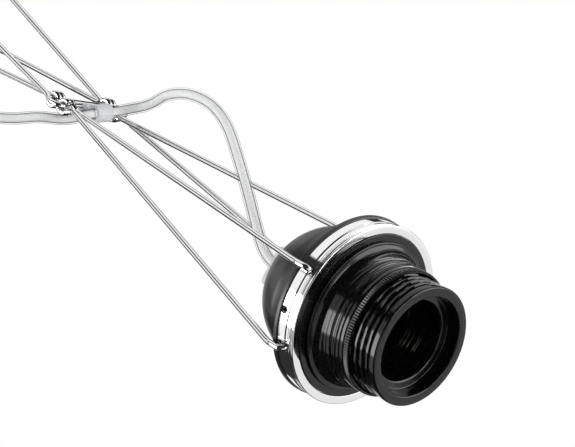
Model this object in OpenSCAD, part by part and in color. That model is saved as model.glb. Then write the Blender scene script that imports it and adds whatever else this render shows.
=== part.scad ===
// Wire-hung E27 lampholder: two pairs of steel rods hang a chrome link, two more
// pairs hang the holder from the link, and a jacketed cord drops to it in a slack loop.
// Millimetres. Z is up. The origin is the middle of the four upper hooks, at their height.

/* [Hanging] */
// Depth of the hook ring's front plane below the upper hooks
ring_drop = 313; // [290:1:340]
// Lean of the lampholder from the vertical, in degrees
lean = 14; // [8:1:16]
// Sideways place of the hook ring from the middle of the upper hooks
ring_x = -0.2; // [-2:0.2:4]
// Fore and aft place of the hook ring from the middle of the upper hooks
ring_y = 1.7; // [-2:0.1:4]
// Sideways place of the left eyes on the link's lower bar
link_x = -13.9; // [-16:0.1:-12]
// Fore and aft place of the left eyes
link_y = -0.8; // [-4:0.1:2]
// Depth of the left eyes below the upper hooks
link_drop = 129.4; // [115:0.1:140]
// Slope of the link's bars, in degrees
link_slope = 24.3; // [15:0.1:30]
// Turn of the link about the vertical, in degrees
link_yaw = 8.1; // [0:0.1:10]

/* [Rods] */
// Diameter of the steel rods
rod_d = 2.0; // [1.6:0.1:2.2]
// Room between a rod and what it hooks over
rod_room = 0.3; // [0.2:0.05:0.4]
// Spacing of two upper hooks, front to back
hook_pitch = 24.6; // [22:0.2:30]
// Length of an upper hook's bent end
hook_len = 6; // [4:0.5:8]

/* [Link] */
// Diameter of the link's wire
bar_d = 1.8; // [1.4:0.1:2.0]
// Distance between the left and right eyes along the lower bar
link_pitch = 28.7; // [24:0.1:34]
// Height between the link's two bars, centre to centre
link_h = 7; // [6.8:0.1:9]
// How far the left upper eyes sit inward of the lower ones
upper_in = 2.8; // [0:0.2:4]
// How far the right upper eyes sit outward of the lower ones
upper_out = 5.6; // [0:0.2:7]
// Place of the cord clip along the link
clip_x = 14.6; // [13:0.1:16]
// Width of the cord clip
clip_w = 7; // [5:0.5:9]

/* [Hook ring] */
// Outer radius of the hook ring's wall
ring_r = 29.6; // [29:0.1:31]
// Wall of the hook ring
ring_wall = 1.4; // [1:0.1:1.6]
// Depth of the hook ring's wall
ring_h = 7.15; // [6.8:0.05:8]
// How far the ring's polished front edge stands out past its wall
edge_lip = 0.4; // [0.2:0.05:0.6]
// Thickness of the ring's front web
web_t = 1.2; // [1:0.1:1.4]
// Inner radius of the polished front band
band_r = 27.3; // [26.8:0.1:27.6]
// Angle of a hook hole from the ring's side, in degrees
hook_az = 25.4; // [24:0.2:32]
// Turn of the hook holes round the holder's axis, in degrees
hook_turn = 2.6; // [0:0.2:4]
// Diameter of the hook holes
hook_hole_d = 2.6; // [2.5:0.1:3]
// Height of the hook holes behind the front plane
hook_z = 3.4; // [3.3:0.05:3.6]
// Diameter of the clamping screws
grub_d = 2.7; // [2:0.1:3]

/* [Cap] */
// How far the cap's rim stands out past the hook ring's wall
rim_lip = 0.4; // [0.2:0.05:0.6]
// Radius of the cap's dome
dome_r = 23.55; // [22:0.05:25]
// Height of the dome's centre behind the front plane
dome_z = 11.8; // [11:0.1:13]
// Wall of the cap
cap_wall = 1.6; // [1.2:0.1:2.2]
// Radius of the cap's cord hole
cap_hole_r = 5.2; // [5:0.1:6]
// Width of the square cord grip
grip_w = 13.4; // [12:0.1:16]
// Height of the cord grip
grip_h = 3; // [2.5:0.1:5]

/* [Barrel] */
// Radius of the barrel's thread crests
crest_r = 19.6; // [19:0.1:20]
// Radius of the barrel's thread roots
root_r = 18.6; // [18:0.1:19]
// Pitch of the shade thread
pitch = 2.5; // [2:0.1:3]
// Radius of the rounded collar at the mouth
collar_r = 19.8; // [19:0.1:20.2]
// Length of the barrel in front of the ring's front plane
barrel_len = 25.5; // [24:0.5:30]
// Depth of the mouth down to its ledge
mouth_len = 4.8; // [3:0.1:7]
// Radius of the mouth
mouth_r = 16.5; // [15:0.1:17.5]
// Radius of the lamp thread in the holder
lamp_r = 13.3; // [13.1:0.05:13.6]

/* [Shade ring] */
// Bore radius of the shade ring
shade_bore_r = 20; // [19.9:0.05:20.3]
// Radius of the shade ring's flange
flange_r = 24.9; // [24:0.1:26.5]
// Length of the shade ring
shade_len = 14.8; // [13:0.1:15]
// Radius of the washer's rim
washer_r = 27.1; // [26:0.1:27.2]
// Thickness of the washer
washer_t = 1; // [0.8:0.1:1.2]
// Number of knurls round the shade ring
knurls = 96; // [48:4:120]

/* [Cord] */
// Diameter of the cord
cord_d = 4.2; // [3.6:0.1:4.3]
// Radius of the coil's inner layer
coil_r = 21; // [19:0.5:24]
// Loops in the coil
coil_loops = 8; // [6:1:10]
// Room between the coil's loops
coil_gap = 0.5; // [0.45:0.05:1]

/* [Hidden] */
$fn = 96;

rod_r = rod_d / 2;
bar_r = bar_d / 2;
cord_r = cord_d / 2;
eye_r = bar_r + rod_r + rod_room;
eye_half = rod_r + rod_room / 2;
neck = 2 * eye_r;
// Radius of the middle of the ring's wall, where the rods pivot
pivot_r = ring_r - ring_wall / 2;
wall_in = ring_r - ring_wall;
rim_r = ring_r + rim_lip;
// The rods stand clear of the cap's rim by the room that rocking takes
knee_r = rim_r + rod_r + 1.2 * rod_room;
knee_z = hook_z + 6;
stub_in = pivot_r - 3.2;
skirt_r = wall_in - 0.15;
skirt_z = hook_z + hook_hole_d / 2 + 0.3;
rim_z = ring_h + 0.05;
grub_z = (skirt_z + ring_h) / 2;
dome_top = dome_z + dome_r;
grip_z = dome_top - 0.35;
grip_top = grip_z + grip_h;
web_z = 0.7;
web_top = web_z + web_t;
barrel_r = crest_r;
flange_in_r = stub_in - 1.6;
flange_t = 2;
block_z = 1.5;
rear_z = 12;
lamp_wall = 0.45;
shell_in = lamp_r;
shell_out = lamp_r + lamp_wall;
bore_r = shell_out + 0.05;
tube_r = 17.2;
ledge_z = -(barrel_len - mouth_len);
washer_back = web_z - 0.1;
washer_front = washer_back - washer_t;
shade_back = washer_front - 0.1;
shade_front = shade_back - shade_len;

function unit(v) = v / norm(v);
function rot_x(p, a) = [p[0], p[1] * cos(a) - p[2] * sin(a), p[1] * sin(a) + p[2] * cos(a)];
function rot_y(p, a) = [p[0] * cos(a) + p[2] * sin(a), p[1], -p[0] * sin(a) + p[2] * cos(a)];
function rot_z(p, a) = [p[0] * cos(a) - p[1] * sin(a), p[0] * sin(a) + p[1] * cos(a), p[2]];
// Points in the holder's own frame, with its axis upright, moved to where it hangs
function held(p) = rot_y(p, -lean) + [ring_x, ring_y, -ring_drop];
// Points in the link's own frame, along its lower bar, moved to where it hangs
function linked(p) = rot_z(rot_y(p, -link_slope), link_yaw) + [link_x, link_y, -link_drop];
function ring_point(az, r, z) = held([r * cos(az + hook_turn), r * sin(az + hook_turn), z]);

module held_frame() translate([ring_x, ring_y, -ring_drop]) rotate([0, -lean, 0]) children();
module linked_frame() {
    translate([link_x, link_y, -link_drop]) rotate([0, -link_slope, link_yaw]) children();
}

// Rounds each inner corner of a path with a short curve of k steps
function rounded(p, cut, k) = let (n = len(p)) concat([p[0]],
    [for (i = [1 : n - 2], j = [0 : k])
        let (a = p[i] + unit(p[i - 1] - p[i]) * min(cut, norm(p[i - 1] - p[i]) / 2.2),
             b = p[i] + unit(p[i + 1] - p[i]) * min(cut, norm(p[i + 1] - p[i]) / 2.2), t = j / k)
        a * (1 - t) * (1 - t) + p[i] * 2 * t * (1 - t) + b * t * t],
    [p[n - 1]]);
// Smooth curve through a route's points, k steps to a stretch
function eased(p, k) = let (n = len(p)) concat(
    [for (i = [0 : n - 2], j = [0 : k - 1])
        let (t = j / k, a = p[i], b = p[i + 1],
             ta = i == 0 ? b - a : (b - p[i - 1]) / 2,
             tb = i == n - 2 ? b - a : (p[i + 2] - a) / 2)
        a * (2 * t * t * t - 3 * t * t + 1) + ta * (t * t * t - 2 * t * t + t)
        + b * (3 * t * t - 2 * t * t * t) + tb * (t * t * t - t * t)],
    [p[n - 1]]);
function tangents(p) = let (n = len(p))
    [for (i = [0 : n - 1]) unit(p[min(i + 1, n - 1)] - p[max(i - 1, 0)])];
function square_to(t) = unit(cross(t, abs(t[0]) < 0.8 ? [1, 0, 0] : [0, 1, 0]));
function carried(v, t) = unit(v - t * (v * t));
function normals(t) = [for (i = 0, v = square_to(t[0]); i < len(t);
    i = i + 1, v = i < len(t) ? carried(v, t[i]) : v) v];
// Round bar or tube of radius r swept along a path, with n sides
module swept(p, r, n) {
    t = tangents(p);
    v = normals(t);
    m = len(p);
    pts = [for (i = [0 : m - 1], j = [0 : n - 1])
        p[i] + r * (v[i] * cos(j * 360 / n) + cross(t[i], v[i]) * sin(j * 360 / n))];
    side = [for (i = [0 : m - 2], j = [0 : n - 1], h = [0, 1])
        let (a = i * n + j, b = i * n + (j + 1) % n)
        h == 0 ? [a, a + n, b] : [b, a + n, b + n]];
    caps = [for (j = [1 : n - 2], h = [0, 1]) h == 0 ? [0, j, j + 1]
        : [(m - 1) * n, (m - 1) * n + j + 1, (m - 1) * n + j]];
    polyhedron(points = pts, faces = concat(side, caps), convexity = 10);
}

// A rod's eye round a bar at (x, z) of the link, its neck below (up = -1) or above (up = 1)
function eye_path(x, z, up, side) = concat(
    [linked([x, 0, z + up * neck])],
    [for (a = [-50 : 20.5 : 216]) linked([x, side * eye_r * cos(a), z - up * eye_r * sin(a)])]);
// A lower rod from its bent end in the ring's hole to its eye on the lower bar
function bail_path(az, x, side) = concat(
    rounded([ring_point(az, stub_in, hook_z), ring_point(az, knee_r, hook_z),
        ring_point(az, knee_r, knee_z), linked([x, 0, -neck])], 2.2, 4),
    [for (q = [1 : 13]) eye_path(x, 0, -1, side)[q]]);
// An upper rod from its eye on the upper bar to its bent end
function stay_path(x, y, side) = let (e = linked([x, 0, link_h]) + [0, 0, neck]) concat(
    [for (q = [13 : -1 : 1]) eye_path(x, link_h, 1, side)[q]],
    rounded([e, [e[0], y, 0], [e[0], y - sign(y) * hook_len, 0]], 2.2, 4));

module rod(path) color([0.75, 0.76, 0.78]) swept(path, rod_r, 10);

module stay_rod_e() rod(stay_path(link_pitch + upper_out + eye_half, -hook_pitch / 2, 1));
module stay_rod_f() rod(stay_path(upper_in - eye_half, -hook_pitch / 2, 1));
module stay_rod_g() rod(stay_path(link_pitch + upper_out - eye_half, hook_pitch / 2, -1));
module stay_rod_h() rod(stay_path(upper_in + eye_half, hook_pitch / 2, -1));
module bail_rod_a() rod(bail_path(180 - hook_az, -eye_half, 1));
module bail_rod_b() rod(bail_path(180 + hook_az, eye_half, -1));
module bail_rod_c() rod(bail_path(hook_az, link_pitch + eye_half, 1));
module bail_rod_d() rod(bail_path(-hook_az, link_pitch - eye_half, -1));

// Oblong chrome link: two straight bars joined by bent ends
link_left = -(2 * eye_half + rod_r + rod_room);
link_right = link_pitch + upper_out - link_left;
// The ring's bends: tight ones round the eyes, a wider one at the free upper left corner
bend_r = 1.9;
wide_r = 3.3;
module link_bar(x, z, length, tip) translate([x, 0, z]) rotate([0, tip, 0])
    cylinder(r = bar_r, h = length, $fn = 24);
module link_bend(x, z, r, a) {
    translate([x - r * sign(cos(a + 45)), 0, z - r * sign(sin(a + 45))]) rotate([90, 0, 0])
        rotate([0, 0, a]) rotate_extrude(angle = 90) translate([r, 0])
            circle(r = bar_r, $fn = 24);
}
module link_ring() color([0.8, 0.8, 0.82]) linked_frame() {
    link_bar(link_left + bend_r, 0, link_right - link_left - 2 * bend_r, 90);
    link_bar(link_left + wide_r, link_h, link_right - link_left - bend_r - wide_r, 90);
    link_bar(link_left, bend_r, link_h - bend_r - wide_r, 0);
    link_bar(link_right, bend_r, link_h - 2 * bend_r, 0);
    link_bend(link_left, 0, bend_r, 180);
    link_bend(link_right, 0, bend_r, 270);
    link_bend(link_right, link_h, bend_r, 0);
    link_bend(link_left, link_h, wide_r, 90);
}

// The cord runs straight through the clip, just under the lower bar
clip_in = [11.4, 0.1, -3.7];
clip_out = [18.8, -1.7, -5.1];
clip_mid = (clip_in + clip_out) / 2;
clip_dir = unit(clip_out - clip_in);
clip_yaw = atan2(clip_dir[1], clip_dir[0]);
clip_dip = -asin(clip_dir[2]);
band_t = 1.1;
module cord_clip() color([0.72, 0.74, 0.76, 0.8]) linked_frame() difference() {
    union() {
        translate(clip_mid) rotate([0, clip_dip, clip_yaw]) rotate([0, 90, 0])
            cylinder(r = cord_r + band_t, h = clip_w, center = true);
        translate([clip_x - clip_w / 2, 0, 0]) rotate([0, 90, 0])
            cylinder(r = bar_r + band_t, h = clip_w);
        translate([clip_x - clip_w / 2, -1.6, -3.2]) cube([clip_w, 2.2, 3.2]);
    }
    translate(clip_mid) rotate([0, clip_dip, clip_yaw]) rotate([0, 90, 0])
        cylinder(r = cord_r + 0.02, h = clip_w + 6, center = true);
    translate([clip_x - clip_w, 0, 0]) rotate([0, 90, 0])
        cylinder(r = bar_r + 0.02, h = 2 * clip_w);
    translate([clip_x - clip_w, -0.6, 0]) cube([2 * clip_w, 1.2, 4]);
}

// Chrome cup with a polished front band, four hook holes and two screw holes
module hook_ring() color([0.82, 0.82, 0.84]) held_frame() difference() {
    rotate_extrude() polygon([[band_r, 0], [ring_r + edge_lip - 0.3, 0],
        [ring_r + edge_lip, 0.3], [ring_r + edge_lip, 0.7], [ring_r, 1.0], [ring_r, hook_z - 0.7], [ring_r - 0.4, hook_z - 0.6],
        [ring_r - 0.4, hook_z + 0.4], [ring_r, hook_z + 0.5], [ring_r, ring_h], [wall_in, ring_h],
        [wall_in, web_top], [barrel_r + 0.4, web_top], [barrel_r + 0.4, web_z], [band_r, web_z]]);
    for (az = [hook_az, -hook_az, 180 - hook_az, 180 + hook_az]) {
        rotate([0, 0, az + hook_turn]) translate([wall_in - 2, 0, hook_z]) rotate([0, 90, 0])
            cylinder(d = hook_hole_d, h = ring_wall + 4, $fn = 32);
    }
    for (az = [0, 180]) {
        rotate([0, 0, az]) translate([wall_in - 2, 0, grub_z]) rotate([0, 90, 0])
            cylinder(d = grub_d + 0.1, h = ring_wall + 4, $fn = 32);
    }
}

module grub(az) color([0.25, 0.25, 0.27]) held_frame() rotate([0, 0, az])
    translate([skirt_r - cap_wall - 0.6, 0, grub_z]) rotate([0, 90, 0]) difference() {
        cylinder(d = grub_d, h = ring_r - skirt_r + cap_wall + 0.3, $fn = 32);
        translate([0, 0, ring_r - skirt_r + cap_wall - 1])
            cylinder(d = 1.5, h = 2, $fn = 6);
    }
module grub_screw_a() grub(180);
module grub_screw_b() grub(0);

// Domed cap: skirt inside the ring, lipped rim, concave flare and a dome with the cord hole
flare_a = 16;
flare_r = dome_r * cos(flare_a);
flare_z = dome_z + dome_r * sin(flare_a);
lip_z = rim_z + 1.8;
flare_w = rim_r - 0.5 - flare_r;
flare_h = flare_z - lip_z;
function flare_point(t) = [rim_r - 0.5 - flare_w * sin(t), lip_z + flare_h * (1 - cos(t))];
function flare_normal(t) = unit([flare_h * sin(t), flare_w * cos(t)]);
module dome_cap() color([0.1, 0.1, 0.11]) held_frame() difference() {
    rotate_extrude() polygon(concat(
        [[skirt_r - cap_wall, skirt_z], [skirt_r, skirt_z], [skirt_r, rim_z], [rim_r - 0.3, rim_z],
         [rim_r, rim_z + 0.4], [rim_r, lip_z - 0.5], [rim_r - 0.5, lip_z]],
        [for (t = [6 : 12 : 90]) flare_point(t)],
        [for (a = [flare_a + 4 : 5 : 74]) [dome_r * cos(a), dome_z + dome_r * sin(a)]],
        [[cap_hole_r, dome_z + sqrt(dome_r * dome_r - cap_hole_r * cap_hole_r)],
         [cap_hole_r, dome_z + sqrt(pow(dome_r - cap_wall, 2) - cap_hole_r * cap_hole_r)]],
        [for (a = [72 : -6 : flare_a + 4]) [(dome_r - cap_wall) * cos(a),
            dome_z + (dome_r - cap_wall) * sin(a)]],
        [for (t = [80 : -11 : 36]) flare_point(t) - cap_wall * flare_normal(t)],
        [[skirt_r - cap_wall, lip_z - 0.6]]));
    for (az = [0, 180]) {
        rotate([0, 0, az]) translate([skirt_r - cap_wall - 1, 0, grub_z]) rotate([0, 90, 0])
            cylinder(d = grub_d + 0.1, h = cap_wall + 3, $fn = 32);
    }
}

// Clear square cord grip on the dome's top, with its clamping screw
grip_turn = -70.8;
nipple_r = 4.9;
module cord_grip() color([0.85, 0.87, 0.88, 0.6]) held_frame() difference() {
    translate([0, 0, grip_z]) rotate([0, 0, grip_turn]) linear_extrude(grip_h)
        offset(r = 1.5, $fn = 24) square(grip_w - 3, center = true);
    translate([0, 0, dome_z]) sphere(r = dome_r + 0.03);
    translate([0, 0, grip_z - 1]) cylinder(r = nipple_r + 0.03, h = 1.9);
    translate([0, 0, grip_z - 1]) cylinder(r = cord_r + 0.02, h = grip_h + 2);
    translate([0, 0, grip_z + grip_h - 1.2]) rotate([0, 0, grip_turn]) rotate([0, 90, 0])
        cylinder(d = 1.7, h = grip_w, $fn = 24);
}
module grip_screw() color([0.7, 0.7, 0.72]) held_frame()
    translate([0, 0, grip_z + grip_h - 1.2]) rotate([0, 0, grip_turn]) rotate([0, 90, 0])
        translate([0, 0, cord_r + 0.1]) cylinder(d = 1.6, h = grip_w / 2 - cord_r, $fn = 24);

module nipple() color([0.75, 0.72, 0.6]) held_frame() translate([0, 0, dome_top - 7])
    difference() {
        cylinder(r = nipple_r, h = 7.5);
        translate([0, 0, -1]) cylinder(r = nipple_r - 1.3, h = 10);
    }
module nipple_nut() color([0.75, 0.75, 0.77]) held_frame() translate([0, 0, dome_top - 6.2])
    difference() {
        cylinder(r = 7.6, h = 3, $fn = 6);
        translate([0, 0, -1]) cylinder(r = nipple_r + 0.02, h = 6);
    }

// Black barrel: thread ridges, rounded collar, mouth with a ledge, and the lamp bore
function ridge(z) = [[root_r, z + 0.75], [crest_r - 0.2, z + 0.35], [crest_r, z],
    [crest_r - 0.2, z - 0.35], [root_r, z - 0.75]];
ridge_n = floor((barrel_len - 8) / pitch);
module barrel() color([0.06, 0.06, 0.07]) held_frame() rotate_extrude() polygon(concat(
    [[bore_r, rear_z], [tube_r, rear_z], [tube_r, web_top + flange_t + 0.1],
     [flange_in_r, web_top + flange_t + 0.1], [flange_in_r, web_top + 0.1],
     [barrel_r, web_top + 0.1], [barrel_r, 0.2]],
    [for (i = [ridge_n - 1 : -1 : 0]) each ridge(-(barrel_len - 4 - i * pitch))],
    [[root_r, 2.8 - barrel_len], [collar_r - 0.6, 2.6 - barrel_len],
     [collar_r - 0.15, 2.3 - barrel_len], [collar_r, 1.8 - barrel_len],
     [collar_r, 0.9 - barrel_len], [collar_r - 0.25, 0.3 - barrel_len],
     [collar_r - 0.9, -barrel_len], [mouth_r + 0.5, -barrel_len], [mouth_r, 0.5 - barrel_len],
     [mouth_r - 0.4, ledge_z], [lamp_r + 0.9, ledge_z], [lamp_r, ledge_z + 0.9],
     [lamp_r, ledge_z + 4.4], [bore_r, ledge_z + 4.4]]));

module contact_block() color([0.9, 0.89, 0.85]) held_frame() difference() {
    translate([0, 0, block_z]) cylinder(r = bore_r - 0.05, h = rear_z - block_z);
    translate([0, 0, block_z - 1]) cylinder(r = 2.05, h = rear_z);
    translate([0, 0, block_z - 1]) cylinder(r = 4.6, h = 3.4);
}

module lamp_shell() color([0.8, 0.68, 0.4]) held_frame() rotate_extrude() polygon(concat(
    [[shell_out, block_z - 0.02], [shell_in, block_z - 0.02]],
    [for (i = [0 : 5]) each [[shell_in, -0.6 - 2.2 * i], [shell_in + 0.2, -1.4 - 2.2 * i]]],
    [[shell_in, ledge_z + 4.5], [shell_out, ledge_z + 4.5]]));

module side_contact() color([0.85, 0.72, 0.42]) held_frame() {
    translate([8.2, -1.5, block_z - 0.4]) cube([4.2, 3, 0.4]);
    translate([8.2, 0, block_z - 2.6]) rotate([90, 0, 0]) difference() {
        cylinder(r = 2.6, h = 3, center = true);
        cylinder(r = 2.2, h = 4, center = true);
        translate([-4, -6, -3]) cube([8, 6, 6]);
        translate([-6, -4, -3]) cube([6, 8, 6]);
    }
}

term_x = 7;
module terminal(s) color([0.8, 0.68, 0.4]) held_frame() translate([s * term_x, 0, rear_z])
    difference() {
        translate([-2.5, -3, 0]) cube([5, 6, 7]);
        translate([0, 0, 1]) cylinder(d = 1.9, h = 7, $fn = 24);
        translate([0, 0, 4.6]) rotate([0, 90, 0]) cylinder(d = 2.1, h = 8, center = true, $fn = 24);
    }
module terminal_live() terminal(1);
module terminal_neutral() terminal(-1);
module terminal_screw(s) color([0.7, 0.7, 0.72]) held_frame()
    translate([s * (term_x + 0.7), 0, rear_z + 4.6]) rotate([0, s * 90, 0]) {
        cylinder(d = 2, h = 2.2, $fn = 24);
        translate([0, 0, 1.9]) cylinder(d = 3.4, h = 1.2, $fn = 24);
    }
module terminal_screw_live() terminal_screw(1);
module terminal_screw_neutral() terminal_screw(-1);

core_r = 0.85;
function core_path(s) = eased([for (q = [[1.0, grip_top - 0.05], [1.0, dome_top - 8],
    [3.0, rear_z + 13], [6.4, rear_z + 10.2], [7.0, rear_z + 7.2]]) held([s * q[0], 0, q[1]])], 3);
module core_live() color([0.45, 0.3, 0.2]) swept(core_path(1), core_r, 8);
module core_neutral() color([0.2, 0.35, 0.6]) swept(core_path(-1), core_r, 8);

// Sprung centre contact: a domed button on a pin that slides in the block
button_z = block_z - 3;
module centre_contact() color([0.85, 0.72, 0.42]) held_frame() {
    translate([0, 0, button_z]) cylinder(r = 4, h = 1);
    translate([0, 0, button_z - 0.6]) cylinder(r1 = 2.6, r2 = 4, h = 0.6);
    translate([0, 0, button_z]) cylinder(r = 2, h = 6);
}

module shade_washer() color([0.05, 0.05, 0.06]) held_frame()
    translate([0, 0, washer_front]) difference() {
        union() {
            cylinder(r = washer_r, h = washer_t - 0.3);
            cylinder(r = washer_r - 0.3, h = washer_t);
        }
        translate([0, 0, -1]) cylinder(r = shade_bore_r, h = washer_t + 2);
    }

// Shade ring: flange, concave cove, bead and knurled band over a threaded bore
knurl_r = shade_bore_r + 1.05;
bead_z = shade_front + 3.4;
module shade_ring() color([0.04, 0.04, 0.05]) held_frame() difference() {
    union() {
        rotate_extrude() polygon(concat(
            [[shade_bore_r, shade_back], [flange_r - 0.3, shade_back],
             [flange_r, shade_back - 0.3], [flange_r, shade_back - 0.7]],
            [for (t = [10 : 16 : 90]) let (s = sin(t), c = cos(t))
                [flange_r - 0.3 - (flange_r - shade_bore_r - 0.9) * s,
                 shade_back - 0.9 - (shade_len - 6.2) * (1 - c)]],
            [[shade_bore_r + 0.6, bead_z + 1.0], [knurl_r - 0.25, bead_z + 0.7], [knurl_r, bead_z],
             [knurl_r - 0.25, bead_z - 0.7], [shade_bore_r + 0.7, bead_z - 1.0],
             [shade_bore_r + 0.7, shade_front], [shade_bore_r, shade_front]]));
        translate([0, 0, shade_front + 0.1]) linear_extrude(2) polygon([for (i = [0 : 2 * knurls - 1])
            (i % 2 == 0 ? knurl_r : knurl_r - 0.25) * [cos(i * 180 / knurls), sin(i * 180 / knurls)]]);
    }
    translate([0, 0, shade_front - 1]) cylinder(r = shade_bore_r, h = shade_len + 2);
}

// The slack cord: out of the clip, down round the loop and into the grip
slack_route = concat([linked(clip_out), linked(clip_out + clip_dir * 3)], [
    [12.4, -2.1, -127.0],
    [14.4, -4.7, -131.6],
    [14.4, -8.7, -138.4],
    [12.4, -13.9, -147.0],
    [10.4, -18.5, -158.0],
    [8.4, -21.7, -169.0],
    [6.4, -23.7, -179.0],
    [4.4, -24.9, -189.0],
    [2.4, -25.2, -197.0],
    [0.4, -24.7, -206.0],
    [-1.6, -22.9, -215.0],
    [-3.8, -19.5, -225.0],
    [-6.2, -14.7, -237.0],
    [-8.4, -9.9, -248.0],
    [-10.2, -5.3, -257.6]],
    [held([0.2, -1.6, grip_top + 8]), held([0, 0, grip_top + 0.02])]);
module cord_slack() color([0.78, 0.79, 0.8]) swept(eased(slack_route, 2), cord_r, 8);

// The coil of spare cord beside the left rear upper rod, out to one side
coil_at = [-39, 17.4, -50];
coil_tilt = -6.5;
coil_start = 200;
coil_p = cord_d + coil_gap;
coil_r2 = coil_r + coil_p;
turn_back = coil_loops / 2 + 0.5;
function coil_axial(s) = s < turn_back ? -1 + s : -1 + 2 * turn_back - s;
function smooth(t) = let (c = min(max(t, 0), 1)) c * c * (3 - 2 * c);
function coil_point(s) = let (a = coil_start + 360 * s,
        r = coil_r + (coil_r2 - coil_r) * smooth((s - turn_back + 0.25) / 0.5))
    [r * cos(a), coil_p * coil_axial(s), r * sin(a)];
coil_out = [-sin(coil_start), 0, cos(coil_start)];
coil_local = concat([coil_point(0) - coil_out * cord_d],
    [for (i = [0 : 24 * coil_loops]) coil_point(i / 24)],
    [coil_point(coil_loops) + coil_out * cord_d]);
function coiled(p) = rot_x(p, coil_tilt) + coil_at;
coil_path = [for (p = coil_local) coiled(p)];
module cord_coil() color([0.78, 0.79, 0.8]) swept(coil_path, cord_r, 6);
coil_free = min([for (i = [0 : len(coil_path) - 14], j = [i + 13 : len(coil_path) - 1])
    norm(coil_path[i] - coil_path[j])]) - cord_d;
echo(coil_self_gap = coil_free);
echo(coil_length = PI * (coil_r * (coil_loops + 1) + coil_r2 * (coil_loops - 1)));

// The feed from the coil past the link's left end and into the clip
feed_at = coiled(coil_point(coil_loops) + coil_out * cord_d);
feed_route = concat([feed_at, feed_at + rot_x(coil_out, coil_tilt) * 2.4], [
    [-59.4, 14.2, -72.0],
    [-57.0, 13.2, -84.0],
    [-53.5, 12.2, -97.0],
    [-48.4, 10.8, -108.6],
    [-42.4, 9.3, -118.0],
    [-35.6, 7.3, -124.6],
    [-28.6, 6.3, -126.2],
    [-22.6, 4.9, -125.6]],
    [linked([-2, 5.8, 3.9]), linked([1.7, 5.7, 2.4]), linked([5, 4.1, -0.3]),
     linked(clip_in - clip_dir * 3), linked(clip_in)]);
module cord_feed() color([0.78, 0.79, 0.8]) swept(eased(feed_route, 2), cord_r, 8);

// Strap round the coil's side and the upper rod that carries it
tie_w = 4;
tie_x0 = coil_r - cord_r - 0.4;
tie_x1 = coil_r2 + cord_r + 0.4;
tie_y0 = -coil_p * 0.6 - cord_r - rod_d - 0.9;
tie_y1 = coil_p * (turn_back - 1) + cord_r + 0.5;
module cord_tie() color([0.1, 0.1, 0.1]) translate(coil_at) rotate([coil_tilt, 0, 0])
    translate([0, 0, -tie_w / 2]) linear_extrude(tie_w) difference() {
        translate([tie_x0 - 1, tie_y0 - 1]) square([tie_x1 - tie_x0 + 2, tie_y1 - tie_y0 + 2]);
        translate([tie_x0, tie_y0]) square([tie_x1 - tie_x0, tie_y1 - tie_y0]);
    }

// Two ferruled core ends at the cord's free end
tail_at = coiled(coil_point(0) - coil_out * cord_d);
tail_dir = rot_x(-coil_out, coil_tilt);
module cord_tail() color([0.8, 0.8, 0.82]) for (s = [-1, 1])
    let (a = tail_at + rot_x([0, s, 0], coil_tilt)) swept([a, a + tail_dir * 12], 0.85, 8);

stay_rod_e();
stay_rod_f();
stay_rod_g();
stay_rod_h();
link_ring();
cord_clip();
bail_rod_a();
bail_rod_b();
bail_rod_c();
bail_rod_d();
hook_ring();
grub_screw_a();
grub_screw_b();
dome_cap();
cord_grip();
grip_screw();
nipple();
nipple_nut();
barrel();
contact_block();
lamp_shell();
side_contact();
terminal_live();
terminal_neutral();
terminal_screw_live();
terminal_screw_neutral();
core_live();
core_neutral();
centre_contact();
shade_washer();
shade_ring();
cord_slack();
cord_feed();
cord_coil();
cord_tie();
cord_tail();
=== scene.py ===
"""Looks of a wire-hung lampholder: steel rods, chrome link and ring, black barrel, jacketed cord.

Every shape is worked out with numpy in millimetres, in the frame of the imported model, and put
into Blender in metres. Each sub-assembly is a class with its sizes as fields; each finish is a
frozen dataclass that builds its own material.
"""

from __future__ import annotations

import logging
import math
from dataclasses import dataclass, field
from enum import Enum
from typing import Callable, Iterable, Sequence

import bpy
import numpy as np
from mathutils import Matrix, Vector

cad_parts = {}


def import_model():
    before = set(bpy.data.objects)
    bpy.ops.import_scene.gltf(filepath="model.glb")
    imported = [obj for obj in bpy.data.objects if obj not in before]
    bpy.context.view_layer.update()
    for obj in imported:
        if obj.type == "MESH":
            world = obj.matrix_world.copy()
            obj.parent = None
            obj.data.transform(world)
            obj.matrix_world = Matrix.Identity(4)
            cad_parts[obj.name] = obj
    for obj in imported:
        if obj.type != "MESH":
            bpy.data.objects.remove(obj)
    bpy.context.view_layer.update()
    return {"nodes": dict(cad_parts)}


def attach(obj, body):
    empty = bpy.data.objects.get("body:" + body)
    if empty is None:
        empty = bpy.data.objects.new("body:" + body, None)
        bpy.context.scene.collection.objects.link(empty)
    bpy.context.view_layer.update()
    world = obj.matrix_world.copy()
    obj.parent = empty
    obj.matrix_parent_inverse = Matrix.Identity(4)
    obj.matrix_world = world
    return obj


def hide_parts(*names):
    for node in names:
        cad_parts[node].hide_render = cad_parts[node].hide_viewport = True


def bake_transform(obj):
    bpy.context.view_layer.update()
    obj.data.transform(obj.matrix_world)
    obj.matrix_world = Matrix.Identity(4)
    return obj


log = logging.getLogger("lampholder")
Array = np.ndarray
MM = 0.001

# ---- The frame: where the holder and the link hang, in millimetres ----


class Body(str, Enum):
    """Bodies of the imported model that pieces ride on."""

    HANGER = "hanger"
    LINK = "link"
    BAIL_LEFT = "bail_left"
    BAIL_RIGHT = "bail_right"
    HOLDER = "holder"
    WASHER = "washer"
    SHADE_RING = "shade_ring"
    CONTACT = "contact"


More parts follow.
